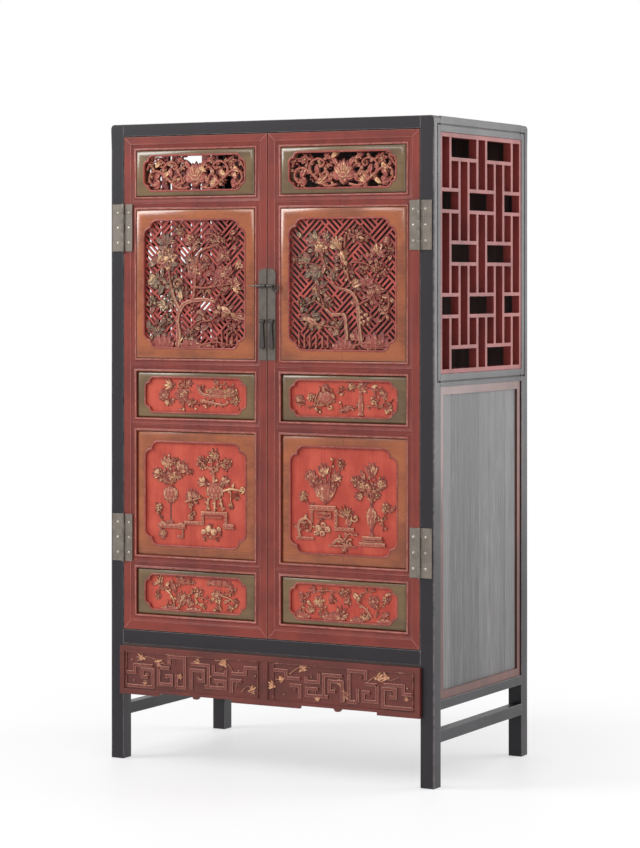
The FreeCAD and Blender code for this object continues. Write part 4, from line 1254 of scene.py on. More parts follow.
    def turned(self, place: Spot, profile: Sequence[Spot], gilt: float = 0.75) -> None:
        """Carve a turned vessel in half relief.

        Args:
            place: the middle of its foot.
            profile: the half width and the height of each point of its side.
            gilt: its gilding.
        """
        mesh = self.work.mesh
        foot = self.spot(place)
        points = [mesh.verts.new((half * MM, 0, tall * MM)) for half, tall in profile]
        edges = [mesh.edges.new(pair) for pair in zip(points, points[1:])]
        bmesh.ops.spin(mesh, geom=points + edges, cent=(0, 0, 0), axis=(0, 0, 1), angle=tau, steps=14,
                       use_merge=True)
        verts = Begonia.walk(points[0])
        bmesh.ops.remove_doubles(mesh, verts=verts, dist=WELD)
        verts = [vert for vert in verts if vert.is_valid]
        widest = max(half for half, _ in profile) * MM
        where = Matrix.Translation(foot) @ Matrix.Diagonal((1, self.relief * 1.1 / widest, 1, 1))
        bmesh.ops.transform(mesh, matrix=where, verts=verts)
        self.work.mark(verts, "gilt", gilt * 0.3)
        self.work.put_by()
        for (half, tall), (half_after, tall_after) in zip(profile, profile[1:]):
            middle = (half + half_after) / 2
            if middle < 9 or tall_after - tall < 5:
                continue
            count = round(middle / 4)
            for number in range(count):
                angle = pi * (number + 0.5) / count
                knob = foot + Vector((cos(angle) * middle * MM, -sin(angle) * self.relief * 0.9 * middle
                                      * MM / widest, (tall + tall_after) / 2 * MM))
                self.swell(knob, 90, ((tall_after - tall) * 0.42 * MM, 1.7 * MM), 0.4,
                           gilt + self.dice.uniform(-0.5, 0.4))

    def curl(self, place: Spot, size: float, turns: float, start: float, width: float, gilt: float = 0.5,
             hand: int = 1) -> None:
        """Carve a spiral that winds in to a place.

        Args:
            place: its eye.
            size: its width.
            turns: how often it goes round.
            start: the angle at which it starts.
            width: the width of the ribbon.
            gilt: its gilding.
            hand: 1 to wind one way and -1 to wind the other.
        """
        eye = self.spot(place)
        size *= self.bulk
        width *= self.bulk
        steps = max(6, round(turns * 10))
        line = []
        for number in range(steps + 1):
            share = number / steps
            reach = size / 2 * (1 - 0.8 * share) * MM
            line.append(eye + heading(start + hand * share * turns * 360) * reach)
        self.stroke(line, width * MM, width * 0.7 * MM, 1.0, gilt, leafy=self.tone(place))
        self.swell(eye, 0, (width * 0.65 * MM, width * 0.65 * MM), 0.9, gilt)


def worth(word: str) -> float:
    """The number that a word gives, whole where it has no point."""
    return float(word) if "." in word else int(word)


def read_plan(text: str) -> Plan:
    """Read what a carver has to carve.

    Args:
        text: lines of a motif and its rows, parted by semicolons. A row gives places in hundredths of the
            window, with its size where it is a tuft's, and the other values that the motif's method takes.

    Returns:
        The motif and the values of each row.
    """
    plan = []
    for line in text.strip().splitlines():
        motif, rows = line.split(maxsplit=1)
        for row in rows.split(";"):
            words = row.split()
            places = [tuple(worth(part) for part in word.split(",")) for word in words if "," in word]
            values = [worth(word) for word in words if "," not in word]
            if motif in ("branch", "bar"):
                plan.append((motif, (values[0], places, *values[1:])))
            elif motif in ("stakes", "tufts"):
                plan.append((motif, (places, *values)))
            elif motif == "turned":
                plan.append((motif, (places[0], places[1:], *values)))
            else:
                plan.append((motif, (places[0], *values)))
    return plan


def mirrored(plan: Plan) -> Plan:
    """A plan turned over from left to right.

    Args:
        plan: the plan.

    Returns:
        Its rows with their places, and the turns of leaves, sprays and curls, mirrored.
    """
    def over(place: tuple[float, ...]) -> tuple[float, ...]:
        """A place, mirrored."""
        return 100 - place[0], *place[1:]

    turned = []
    for motif, (first, second, *rest) in plan:
        if motif in ("branch", "bar"):
            second = [over(place) for place in second]
        elif motif == "tufts":
            first = [over(place) for place in first]
        else:
            first = over(first)
        if motif in ("spray", "leaf"):
            second = 180 - second
        if motif == "curl":
            turns, start, width, gilt, hand = rest
            rest = (turns, 180 - start, width, gilt, -hand)
        turned.append((motif, (first, second, *rest)))
    return turned


# A lotus between two mirrored sprays of curling stems: the left spray, then the flower.
LOTUS_STEMS = read_plan("""
    branch 6 44,10 38,5 32,8 26,24 20,40 13,56 6,52 4,30 9,12 .3 .8; 6 20,40 18,58 21,76 27,82 32,72 30,60 27,66 .3 .7
    branch 5 38,20 36,40 33,54 36,66 40,60 .3 .7; 5 27,24 31,40 36,44; 4 2,60 5,80 12,84; 4 20,78 12,96; 4 33,78 37,97
    branch 4 10,12 14,2; 4 30,22 28,2
    spray 27,18 20 80 4 30 8 .75; 15,14 160 70 3 22 9 .35
    flower 14,80 22 5 .55 1; 5,76 16 5 .6 1
    leaf 12,44 60 26 12 .4; 25,52 100 24 11 .35; 35,88 150 24 10 .4; 38,28 60 22 10 .3
    bud 33,54 8 .5
    tufts 8,50,26 22,30,26 17,84,24 37,66,26 30,12,20 6,22,22 6
    leaf 42,74 128 26 11 .45 .9; 43,30 160 24 11 .3
""")
LOTUS = [*LOTUS_STEMS, *mirrored(LOTUS_STEMS), *read_plan("""
    spray 50,40 90 250 7 30 11 .35; 50,30 90 150 6 36 12 .3 1; 50,28 90 80 5 38 10 .55 1.15
    mound 50,36 0 17 11 .35 1.3
    spray 50,26 -90 120 5 15 8 .45
    bud 47,40 4 .9 1.45; 48.5,40 4 .9 1.45; 50,40 4 .9 1.45; 51.5,40 4 .9 1.45; 53,40 4 .9 1.45
""")]

# What each window shows.
PLANS: dict[str, Plan] = {
    "left_head": [*LOTUS, *read_plan("""
    leaf 13,76 40 22 10 1.1 1.1; 21,46 40 22 10 1.1 1.1; 77,49 140 22 10 1.1 1.1; 90,59 140 22 10 1.1 1.1
    leaf 57,62 140 22 10 1.1 1.1
    """)],
    "right_head": [*LOTUS, *read_plan("""
    leaf 42,92 40 22 10 1.1 1.1; 68,23 140 22 10 1.1 1.1; 82,19 140 22 10 1.1 1.1; 29,21 40 22 10 1.1 1.1
    leaf 88,60 140 22 10 1.1 1.1
    """)],
    # A flowering tree over rocks, with a bird at its middle and one on its lowest branch.
    "right_upper": read_plan("""
    tufts 28,78,66 14,68,46 24,60,52 48,70,54 62,88,50 80,71,60 86,60,40 28,46,60 40,57,40 62,48,50 77,42,62 88,32,44
    tufts 20,24,62 42,19,46 70,24,50 56,60,40 68,62,36 36,36,38 94,76,34 12,36,30
    branch 10 54,8 53,19 51,27 41,27 33,32 24,38 .12; 10 67,6 65,24 64,35 58,44 44,48 39,55 42,62 47,65
    branch 5 30,76 33,66 39,62 46,58 .5; 4 9,66 20,66 39,61; 4 58,67 70,66 79,63 88,62; 5 54,60 57,52 63,50 .6
    branch 4 52,78 54,88 66,86 72,88; 5 64,34 76,40 82,46 86,40; 5 92,44 93,36 91,28 86,22; 4 24,38 20,36 12,33
    branch 4 33,32 30,40 25,46 .5
    flower 30,79 40 7 1
    spray 26,82 150 90 4 34 10 .8; 33,84 70 60 3 22 8 .7; 20,70 185 70 3 28 11 .35; 29,61 200 90 4 30 11 .35
    leaf 17,57 215 26 12 .3
    flower 5,69 16 6 .4
    bird 50,71 -75 60 1
    spray 46,76 120 70 5 34 8 .95
    flower 54,89 18 5 .8 1
    bird 68,85 160 34 .45
    spray 82,73 60 150 5 26 9 .9
    flower 80,62 20 5 .8 1; 90,61 18 5 .7 1
    leaf 94,70 60 18 8
    flower 25,46 22 6 .95; 19,36 15 5 .8 1
    leaf 63,50 20 26 14 .9
    spray 72,48 70 110 4 30 13 .35
    flower 83,46 22 6 .4; 87,38 18 5 .4 1
    bud 68,25 8 .6; 71,27 8 .6; 70,22 8 .6; 74,24 8 .6; 67,21 8 .6
    bird 21,22 150 58 .75
    branch 6 24,20 36,18 47,17 .35
    spray 41,15 -30 60 3 20 6 .4
    stakes 9,2 14,2 19,2 25,2 31,2 36,2 36 9
    rock 51,1 62 34 .3; 82,2 84 48 .35; 63,8 26 34 .3
    branch 5 60,3 72,6 84,3 96,5
    spray 94,84 200 60 3 20 7
    leaf 9,88 140 20 9 .6; 60,36 120 20 9 .4
    """),
    # An old tree with large blossoms, rocks at its foot and a bird on its right.
    "left_upper": read_plan("""
    tufts 22,70,80 13,53,56 31,50,60 25,37,52 46,66,62 50,82,44 73,57,80 69,85,50 88,50,50 80,72,46 76,30,70 40,44,40
    tufts 60,66,40 12,12,60 45,9,56 57,24,46 34,92,40 88,86,36 8,36,40 60,44,36 88,16,44 22,22,40
    branch 13 33,1 34,12 33,24 39,34 48,37 60,38 71,36 .1 .6; 10 36,28 30,38 26,50 24,62 .15
    branch 8 48,37 50,48 51,60 53,72 59,77 73,81 74,84 68,89 60,89; 6 50,48 59,47 68,48 76,49 88,50
    branch 4 51,62 47,74 46,85; 4 24,64 22,76 25,84; 4 71,37 78,48 78,57; 4 73,81 78,76 78,72; 4 76,50 86,58 93,65
    flower 22,70 56 8 1
    spray 20,80 120 40 2 34 12 .6; 21,80 65 30 2 34 12 .5
    flower 36,90 22 6 .25
    leaf 7,66 200 28 14 .5
    spray 13,54 200 80 3 32 14 .8
    leaf 16,45 230 28 13 .4; 27,43 250 26 13 .4; 36,41 280 24 12 .95
    spray 22,34 190 70 3 26 11 .9
    curl 33,50 22 1.2 20 6 .6
    flower 46,85 24 6 .95; 51,61 46 5 .55; 78,84 16 6 .5; 78,72 30 6 .2; 78,57 42 7 .5
    leaf 93,65 60 26 12 .95
    spray 87,48 20 120 5 28 8 .9
    leaf 62,70 320 24 10 .4; 64,58 20 24 10 .5; 88,90 30 20 9 .5; 90,78 350 20 9 .4
    bird 81,30 150 62 .7
    spray 88,26 -15 40 3 36 8 .6
    flower 48,31 18 5 .7 1
    leaf 57,28 340 22 10 .4; 4,18 100 24 11 .4; 8,30 60 24 11 .4
    stakes 72,2 77,2 82,2 87,2 92,2 34 9
    rock 16,1 78 46 .3; 46,1 60 32 .3; 62,0 44 20 .3
    leaf 36,7 60 24 10 .9
    branch 5 55,2 70,5 84,3 96,4
    leaf 60,16 30 26 11 .35
    branch 4 45,12 55,20 66,22 74,27
    """),
    # A ribbed fruit, an upright ringed vase and leafy sprays.
    "right_waist": read_plan("""
    tufts 10,44,24 20,52,26 48,76,24 58,82,26 80,50,30 92,34,24 50,22,26 84,74,24 26,16,20 66,84,24 7
    spray 12,58 215 50 4 30 6
    flower 19,52 20 6 1.1
    mound 33,51 0 31 21 .3
    branch 3 23.5,30 24.25,52 28.333,74 .6 .45 1.3; 3 25.25,30 28.625,52 30.667,74 .6 .45 1.3
    branch 3 27,30 33,52 33,74 .6 .45 1.3; 3 28.75,30 37.375,52 35.333,74 .6 .45 1.3
    branch 3 30.5,30 41.75,52 37.667,74 .6 .45 1.3
    spray 33,74 90 100 5 16 6 .6
    curl 38,28 14 .7 200 4 1.1
    branch 4 46,16 55,22 64,30
    leaf 54,24 20 30 12
    turned 66,5 0,0 9,0 10,3 6,6 8,14 9,28 7,34 9,37 6,41 7,52 5,60 8,66 0,67 .6
    branch 4 66,74 62,84 56,88
    flower 57,86 18
    spray 62,82 10 60 4 38 7 .6; 75,82 -10 60 3 26 7 .6
    flower 78,47 20
    branch 4 71,32 82,30 93,25; 3 82,30 88,42 95,46
    spray 84,58 30 90 5 24 5 .6; 90,28 -20 80 3 20 6 .6
    bud 24,22 7 1; 28,12 7 1; 47,40 7 1; 48,62 7 1; 90,14 7 1
    branch 3 6,34 14,30 24,22; 3 44,66 50,78 56,80
    """),
    # Round blossoms and a long ribbed fruit among sprigs.
    "left_waist": read_plan("""
    tufts 18,50,34 36,50,40 26,78,26 40,82,26 46,28,26 56,70,24 88,40,30 84,62,26 24,32,24 64,28,22 8
    spray 26,78 180 130 5 26 6 1.1
    curl 36,78 20 .9 90 5
    branch 3 38,82 40,97
    spray 40,84 0 50 3 24 6 .4
    flower 18,49 30 9 .5
    spray 21,36 -80 60 3 18 5 1.1; 25,34 0 50 2 16 5 1
    flower 36,50 38 9 .45
    curl 41,58 18 .6 10 5 .7
    branch 4 37,34 38,22 36,10; 4 40,35 46,26 52,28 59,24
    spray 46,30 180 60 3 20 6 .6
    leaf 53,72 130 20 10 .3
    branch 9 53,66 57,54 68,49 82,50 .35 .7
    curl 62,60 20 .5 0 5 1.1
    mound 74,58 -6 48 13 .4 1.1 1
    branch 2.6 62,68 74,70 90,56 .7 .45 1.2; 2.6 63,63 74,64 90,53 .7 .45 1.2; 2.6 64,58 74,58 90,50 .7 .45 1.2
    branch 2.6 65,53 74,52 90,47 .7 .45 1.2; 7 55,36 66,30 78,25 85,38 .35; 4 65,47 60,23
    spray 84,56 60 150 7 22 5 .7
    flower 88,33 14 5 1.1 1; 92,41 12 5 1.1 1
    branch 3 85,40 88,30 92,20; 3 69,84 80,82 90,74
    spray 70,84 90 90 3 14 5 .6
    bud 38,9 8 1; 50,12 8
    """),
    # Orchids and blossoms on long branches over rocks.
    "right_foot": read_plan("""
    tufts 27,52,34 50,80,28 78,60,34 90,68,26 12,60,28 40,58,24 54,56,26 66,70,24 30,20,30 50,16,34 70,12,28 7 .45
    tufts 88,22,26 10,14,26 30,82,24 7 .45
    flower 27,52 28 6 1.1
    branch 4 27,50 33,32 36,16
    spray 25,82 170 60 3 22 7 .7
    branch 4 26,80 36,84 48,80 56,82
    flower 48,80 16 5 .7 1; 54,82 16 5 .7 1
    leaf 38,60 260 26 11; 53,60 240 26 12
    branch 6 76,18 70,40 62,61 67,82 80,91
    leaf 62,72 130 26 12 1
    flower 78,61 28 7 .7; 89,66 20 6 .8
    branch 4 80,18 81,36 86,54 89,64
    leaf 89,26 30 26 11; 92,84 20 20 8
    bud 17,48 10 1
    branch 4 9,26 11,40 17,48
    leaf 10,62 110 26 12 .5; 16,68 60 22 10 .4
    rock 10,4 46 26 .5; 40,4 60 24 .5; 62,3 34 16 .5; 88,3 40 16 .5
    spray 70,8 90 110 6 22 4 .9; 46,14 60 90 4 30 5 .5; 20,14 100 70 4 26 5 .6
    """),
    # A leafy spray on the left, blossoms and grasses in the middle and a flower on the right.
    "left_foot": read_plan("""
    tufts 14,80,24 12,40,24 28,66,30 34,80,28 36,26,34 52,54,28 71,50,36 72,14,24 86,62,26 90,34,24 58,20,26 7 .4
    tufts 24,16,28 46,82,22 84,16,22 7 .4
    flower 14,88 18 6 1.2 1; 14,78 14 5 1.2 1
    leaf 9,73 200 20 8 .9
    branch 4 13,74 14,60 12,46 13,36
    flower 12,36 14 5 1.1 1
    branch 4 15,60 24,64 28,80
    leaf 28,67 110 30 13 .25
    branch 6 20,58 25,46 28,30 29,12 .9; 6 33,8 36,30 40,42 47,52 .6
    leaf 22,74 40 22 8
    spray 35,12 80 70 6 40 6 .5; 42,10 60 50 4 30 5 .5; 34,80 60 120 5 22 8 .5
    leaf 42,84 30 24 8 .4
    flower 49,58 18 5 1.1 1; 55,57 18 5 .6 1
    leaf 51,46 250 16 8 1.1
    branch 5 50,36 53,24 58,15 1.1; 3 54,42 62,38 68,36
    flower 71,48 32 7 .7
    leaf 67,38 240 16 8 1.1
    branch 5 73,38 74,24 71,10 .7
    flower 70,8 14 5 1.1 1
    branch 4 76,50 83,44 90,30 .8; 4 76,54 84,58 88,74
    leaf 80,34 200 18 8 .9
    spray 81,74 40 110 4 20 6
    bud 63,84 15 .3 .7; 68,86 18 .3 .7; 73,85 20 .3 .7; 79,84 17 .3 .7
    spray 85,12 90 110 4 14 4 .8
    rock 24,3 50 14 .4; 48,2 40 12 .4
    """),
    # Vases, plants, fruit and small furniture, set out as for a feast.
    "right_lower": read_plan("""
    tufts 33,58,50 24,68,40 42,68,34 48,84,26 12,52,28 66,68,44 84,68,40 76,62,40 90,46,30 28,23,34 55,38,30 9 .4
    tufts 50,12,30 14,26,28 64,56,26 9 .4
    spray 33,46 92 70 7 66 11 .55 .9; 22,66 120 60 4 36 9 .6; 31,70 90 50 4 40 9 .6; 40,68 55 50 3 34 8 .6
    leaf 34,58 90 40 16 .4 1.1
    branch 3 37,72 38,78 41,90
    flower 47,86 20 5 .7 1
    bar 13 18,43 43,43 .5 1 1; 7 20,41 20,29 .5 0 .8; 9 43,42 43,24 60,24 .5 1; 5 24,38 38,38 38,34 24,34 .5 0 .7
    flower 12,54 22 6 1.1
    branch 3 14,50 18,46; 7 9,15 7,24 10,31 16,32 20,26 18,20 .5 .8
    bar 7 6,14 22,14 .5 0 .7
    bud 26,24 17 .5 1; 31,27 15 .5 1; 35,23 16 .5 1; 30,19 15 .5 1; 24,19 12 .5 1
    branch 3 26,28 30,34 36,36
    turned 55,26 0,0 5,0 4,3 9,8 11,14 9,19 11,22 0,22 .6
    spray 53,34 110 90 6 34 4 .8
    curl 61,35 18 1 180 4.5 .8
    branch 7 40,10 46,15 50,13 55,20 60,18 .5
    curl 56,11 18 1.1 60 5 .6
    spray 48,8 -40 60 3 22 7 .6
    bar 5 36,8 62,8 .5 0 .6
    turned 76,19 0,0 9,0 9,3 6,6 5,14 10,30 15,48 16,58 12,68 6,75 5,84 9,90 0,91 .8
    bar 9 68,17 86,17 .6 1 1.1; 10 65,11 89,11 .6 1 1; 5 67,14 87,14 .7 0 .8
    branch 4 76,50 75,62 72,72 .6; 4 76,50 80,60 84,66; 4 76,50 70,60 62,68
    spray 76,72 90 60 4 40 9 .7
    flower 60,70 20; 67,64 24 6 1.1
    leaf 68,75 120 28 11
    flower 85,67 24; 81,57 20 6 .8
    spray 68,56 190 60 3 22 8 .8
    leaf 74,62 80 30 12
    branch 4 79,32 85,35 90,42 97,44
    flower 89,46 20 6 1.1
    leaf 95,44 10 16 7
    bud 86,34 8 .9
    branch 3 86,36 87,28 86,24
    """),
    # A slender vase, a bowl on legs and a small tree on stepped stands.
    "left_lower": read_plan("""
    tufts 25,68,56 15,68,34 36,74,38 17,11,28 13,36,30 68,88,40 56,82,36 80,80,34 47,46,40 64,17,34 60,62,26 9 .4
    tufts 77,62,26 46,30,24 90,50,24 30,82,24 9 .4
    turned 25,22 0,0 12,0 12,3 5,7 4,24 4,52 8,56 16,62 23,74 24,84 20,94 12,99 15,102 0,103
    branch 4 26,58 26,66 22,76 23,84; 4 26,60 34,70 42,72; 4 25,60 17,64 12,68
    flower 27,66 26 6 1.1
    spray 23,74 100 70 4 38 9 .8; 32,70 50 60 4 40 9 .7; 14,68 160 90 4 24 8 .7
    flower 20,62 18 6 .5; 38,76 18 5 .7 1; 45,72 16 5 .8 1; 29,80 18 5 .8 1
    bar 12 13,19 40,19 .5 1
    curl 17,19 18 1 0 5 .7; 36,19 16 1 180 5 .6 -1
    bar 6 15,16 15,10 .5 0 .7; 6 37,16 37,9 32,9 .5 0 .7
    flower 17,11 22; 13,36 20 6 1.1
    branch 3 13,32 15,26 20,22
    bar 9 39,23 57,23 57,33 80,33 80,22 86,22 .5 1; 13 78,21 88,21 .6 1 1; 5 60,29 76,29 .5 0 .7
    turned 69,46 0,0 12,0 22,8 29,20 28,30 20,38 24,42 27,46 0,47 .8
    branch 6 63,47 62,41 61,36 .7 .9; 6 69,46 69,41 69,35 .7 .9; 6 75,47 76,41 77,36 .7 .9
    branch 7 68,60 67,73 60,78 54,83 .5; 6 68,70 70,76 77,80 84,82 .5; 4 67,74 66,84 68,90
    flower 54,84 15 5 1 1; 58,81 15 5 1 1; 62,84 15 5 1 1; 66,90 15 5 1 1; 70,88 15 5 1 1; 76,82 15 5 1 1
    flower 83,83 15 5 1 1; 79,77 15 5 1 1; 56,77 15 5 1 1
    spray 59,61 150 90 4 24 7 .9; 77,62 40 90 4 24 7 .9
    branch 6 78,55 86,57 97,55 .9 .9
    curl 96,57 16 .9 270 5 1
    branch 4 85,54 85,44 .9
    spray 85,45 -90 40 4 22 4 .8; 47,46 100 150 7 26 8 .6
    branch 4 40,43 48,45 57,48 .8; 3 46,42 46,36 46,30
    curl 46,28 14 1 90 4 .8
    bud 63,18 18 .8 1; 68,15 18 .8 1; 58,15 14 .8 1; 73,18 12 .8 1
    branch 3 56,11 66,9 76,12
    """),
}


@dataclass(frozen=True)
class Cut:
    """How the carving of one kind of panel is cut and coloured, and how deep the ground of a pierced one lies."""

    bulk: float
    foliage: float
    leafy: float
    relief: float = 6 * MM
    body: Rgb = (152, 74, 60)
    spread: float = -0.16
    depth: float = 0.0


CUTS = {
    "upper": Cut(1.38, 30, 0.85, 10 * MM, (142, 66, 58), -0.2, 5 * MM),
    "head": Cut(1.42, 19, 0.3, 9.5 * MM, (162, 80, 70), -0.1, 9 * MM),
    "waist": Cut(1.25, 13, 0.1),
    "lower": Cut(1.3, 17, 0.1, 7 * MM),
    "foot": Cut(1.3, 15, 0.1),
}


@dataclass
class DoorPanel:
    """One framed panel: a broadly rounded border, a beaded window and what the window shows."""

    side: str
    name: str
    clearance: float = 0.7 * MM
    window_side: float = 28 * MM
    small_rim: float = 15.5 * MM
    large_rim: float = 29 * MM
    small_corner: float = 14 * MM
    large_corner: float = 21 * MM
    sunk: float = 3 * MM
    proud: float = 4 * MM
    ground_depth: float = 6 * MM
    back: float = 19 * MM
    small_steps: tuple[Spot, ...] = ((0.4, 0.8), (0.8, 0.6), (3.4, 2.2), (4.6, 1.6), (4.0, 0.8))
    large_steps: tuple[Spot, ...] = ((0.4, 0.7), (0.8, 0.5), (3.0, 1.5), (6.0, 1.8), (7.0, 1.1), (5.0, 0.4))

    def __post_init__(self) -> None:
        """Work out the opening and the window from the frame."""
        low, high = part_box(f"{self.side}_{self.name}_panel")
        self.low = (low.x + TONGUE, low.z + TONGUE)
        self.high = (high.x - TONGUE, high.z - TONGUE)
        large = self.name in ("upper", "lower")
        self.pierced = self.name in ("upper", "head")
        rim = self.large_rim if large else self.small_rim
        self.face = FRONT - self.proud if self.pierced else FRONT + self.sunk
        self.window = Begonia(self.low[0] + self.window_side, self.low[1] + rim, self.high[0] - self.window_side,
                              self.high[1] - rim, self.large_corner if large else self.small_corner)
        self.wood = AMBER if large else OLIVE
        self.steps = self.large_steps if large else self.small_steps
        self.body = f"{self.side}_door"

    def outline(self, work: Workpiece, grow: float, depth: float) -> list[BMEdge]:
        """Add the opening's outline, grown by some metres, as a ring of edges at a depth."""
        return work.rectangle((self.low[0] - grow, self.low[1] - grow), (self.high[0] + grow, self.high[1] + grow),
                              depth)

    def build(self) -> None:
        """Make the border, the bead, the ground and the carving."""
        self.build_border()
        self.build_bead()
        if self.name == "upper":
            self.build_fret()
        elif not self.pierced:
            self.build_ground()
        self.carve()

    def build_border(self) -> None:
        """Raise the border from a rectangle, step by step, and cut the window in it."""
        work = Workpiece()
        mesh = work.mesh
        gap = self.clearance
        rings = []
        edge = 0.0
        total = sum(step[1] for step in self.steps) * MM
        depth = self.face + total
        for wide, tall in ((0.0, 0.0), *self.steps):
            edge += wide * MM
            depth -= tall * MM
            rings.append(self.outline(work, -gap - edge, depth))
        # Painted shade, partly dirt: the border's foot by the frame and its back are darkened.
        for ring, share in zip(rings, (1.0, 0.9, 0.42, 0.2)):
            work.mark(ends(ring), "dirt", share)
        back = self.outline(work, -gap, FRONT + self.back)
        work.mark(ends(back), "dirt", 1.0)
        work.bridge([back, *rings])
        floor = FRONT + self.back if self.pierced else self.face + self.ground_depth
        window_front = self.window.ring(work, 0.0, self.face)
        window_back = self.window.ring(work, 0.0, floor)
        work.bridge([window_front, window_back])
        work.fill(rings[-1] + window_front)
        if self.pierced:
            work.fill(back + window_back)
        else:
            bmesh.ops.contextual_create(mesh, geom=back)
            work.fill(window_back)
        worn = self.face + total - 1.1 * MM
        work.wear_and_highlight((face for face in mesh.faces if abs(face.calc_center_median().y - worn) < 0.5 * MM), 0.85)
        work.set_in(f"{self.side}_{self.name}_border", self.wood, self.body, [f"{self.side}_{self.name}_panel"],
                    smooth=38)

    def build_bead(self) -> None:
        """Make the rounded bead that lines the window."""
        work = Workpiece()
        wall = 7.6 if self.pierced else 5.4
        profile = ((3.4, 0.3), (3.3, -0.5), (2.6, -1.2), (1.3, -1.6), (-0.4, -1.5), (-1.6, -0.8), (-2.0, 0.4),
                   (-2.0, wall), (0.4, wall + 0.4))
        rings = [self.window.ring(work, grow * MM, self.face + depth * MM) for grow, depth in profile]
        work.bridge(rings, closed=True)
        # The bead's top is marked worn: partly wear, partly a painted highlight.
        work.wear_and_highlight((face for face in work.mesh.faces if face.calc_center_median().y < self.face - 0.7 * MM), 0.8)
        # Painted shade: the bead's inner wall and its foot are darkened.
        work.mark(ends(rings[-2] + rings[-1]), "dirt", 0.6)
        work.mark(ends(rings[0]), "dirt", 1.0)
        window, reach = self.window, self.window.corner
        for x in (window.left + reach, window.right - reach):
            for z in (window.low + reach, window.high - reach):
                where = Matrix.Translation((x, self.face, z)) @ Matrix.Diagonal((3.0 * MM, 2.0 * MM, 3.0 * MM, 1))
                bmesh.ops.create_uvsphere(work.mesh, u_segments=10, v_segments=6, radius=1.0, matrix=where)
        work.set_in(f"{self.side}_{self.name}_window_bead", WINDOW_BEAD, self.body, smooth=50)

    def build_ground(self) -> None:
        """Make the painted ground of a relief panel."""
        work = Workpiece()
        ground = self.face + self.ground_depth
        inner = self.window.ring(work, 0.4 * MM, ground - 0.8 * MM)
        work.thicken(work.fill(inner), 1.2 * MM)
        work.set_in(f"{self.side}_{self.name}_ground", VERMILION, self.body)

    def build_fret(self) -> None:
        """Cut the diagonal fret: blocks of three slots laid as a herringbone."""
        work = Workpiece()
        mesh = work.mesh
        pitch, bar_width = 12.4 * MM, 5.5 * MM
        slot = pitch - bar_width
        block = 3 * pitch
        window = self.window
        middle = Vector(((window.left + window.right) / 2, 0, (window.low + window.high) / 2))
        front, back = FRONT + 4 * MM, FRONT + 9.5 * MM
        reach = ceil((window.right - window.left + window.high - window.low) / block / 2) + 1
        turn = Matrix.Translation(middle + Vector((0, front, 0))) @ Matrix.Rotation(radians(-45), 4, "Y")
        upright = Matrix.Rotation(radians(90), 4, "X")
        for column in range(-reach, reach + 1):
            for row in range(-reach, reach + 1):
                for across, up, wide, high in self.block_slots((column - row) % 4, pitch, bar_width):
                    where = turn @ Matrix.Translation((column * block + across, 0, row * block + up))
                    shape = Matrix.Diagonal((wide, 1, high, 1)) @ upright
                    bmesh.ops.create_grid(mesh, x_segments=1, y_segments=1, size=0.5, matrix=where @ shape)
        inset = 1.5 * MM
        for place, way in (((window.left + inset, 0, 0), (-1, 0, 0)), ((window.right - inset, 0, 0), (1, 0, 0)),
                           ((0, 0, window.low + inset), (0, 0, -1)), ((0, 0, window.high - inset), (0, 0, 1))):
            bmesh.ops.bisect_plane(mesh, geom=work.everything(), dist=WELD, plane_co=place, plane_no=way,
                                   clear_outer=True)
        small = [face for face in mesh.faces if face.calc_area() < slot * slot * 0.4]
        bmesh.ops.delete(mesh, geom=small, context="FACES")
        bmesh.ops.delete(mesh, geom=list(mesh.faces), context="FACES_ONLY")
        margin = 9 * MM
        work.rectangle((window.left - margin, window.low - margin), (window.right + margin, window.high + margin),
                       front)
        # Painted shade: the back of the board is darkened, so the slot walls darken inward.
        work.mark(work.thicken(work.fill([*mesh.edges]), back - front), "dirt", 1.0)
        work.set_in(f"{self.side}_upper_fret", FRET_RED, self.body)

    @staticmethod
    def block_slots(kind: int, pitch: float, bar_width: float) -> list[tuple[float, float, float, float]]:
        """The slots of one block of the herringbone.

        Args:
            kind: which place in the pattern the block has, from 0 to 3.
            pitch: from one slot to the next.
            bar_width: the wood between two slots.

        Returns:
            The middle, the width and the height of each slot, from the block's corner.
        """
        block = 3 * pitch
        slot = pitch - bar_width
        whole, half = 2 * block - bar_width, block - bar_width
        shifts = (-pitch, 0.0, pitch)
        if kind == 0:
            return [(block, block / 2 + shift, whole, slot) for shift in shifts]
        if kind != 3:
            return []
        slots = [(block / 2, block, slot, whole)]
        for shift in (-pitch, pitch):
            slots += [(block / 2 + shift, block / 2, slot, half), (block / 2 + shift, block * 3 / 2, slot, half)]
        return slots

    def carve(self) -> None:
        """Carve what the window shows."""
        window, cut = self.window, CUTS[self.name]
        ground = FRONT + cut.depth if self.pierced else self.face + self.ground_depth
        carver = Carver(window.left, window.low, window.right - window.left, window.high - window.low, ground,
                        cut.relief, random.Random(f"{SEED}{self.side}{self.name}"), cut.bulk, cut.foliage,
                        cut.leafy)
        carver.follow(PLANS[f"{self.side}_{self.name}"])
        # The hollow colour is painted shade in the carving's low parts; the pale colour and the rim paint highlights
        # on its tops and shoulders.
        finish = Gilding(f"gilding_{self.name}_{round(self.face / MM)}", "gilded_carving", cut.body, (88, 34, 30),
                         (176, 124, 74), (222, 186, 146), ground, cut.relief, spread=cut.spread,
                         leaf=(108, 92, 76), rim=0.6)
        carver.work.set_in(f"{self.side}_{self.name}_carving", finish, self.body, smooth=60)


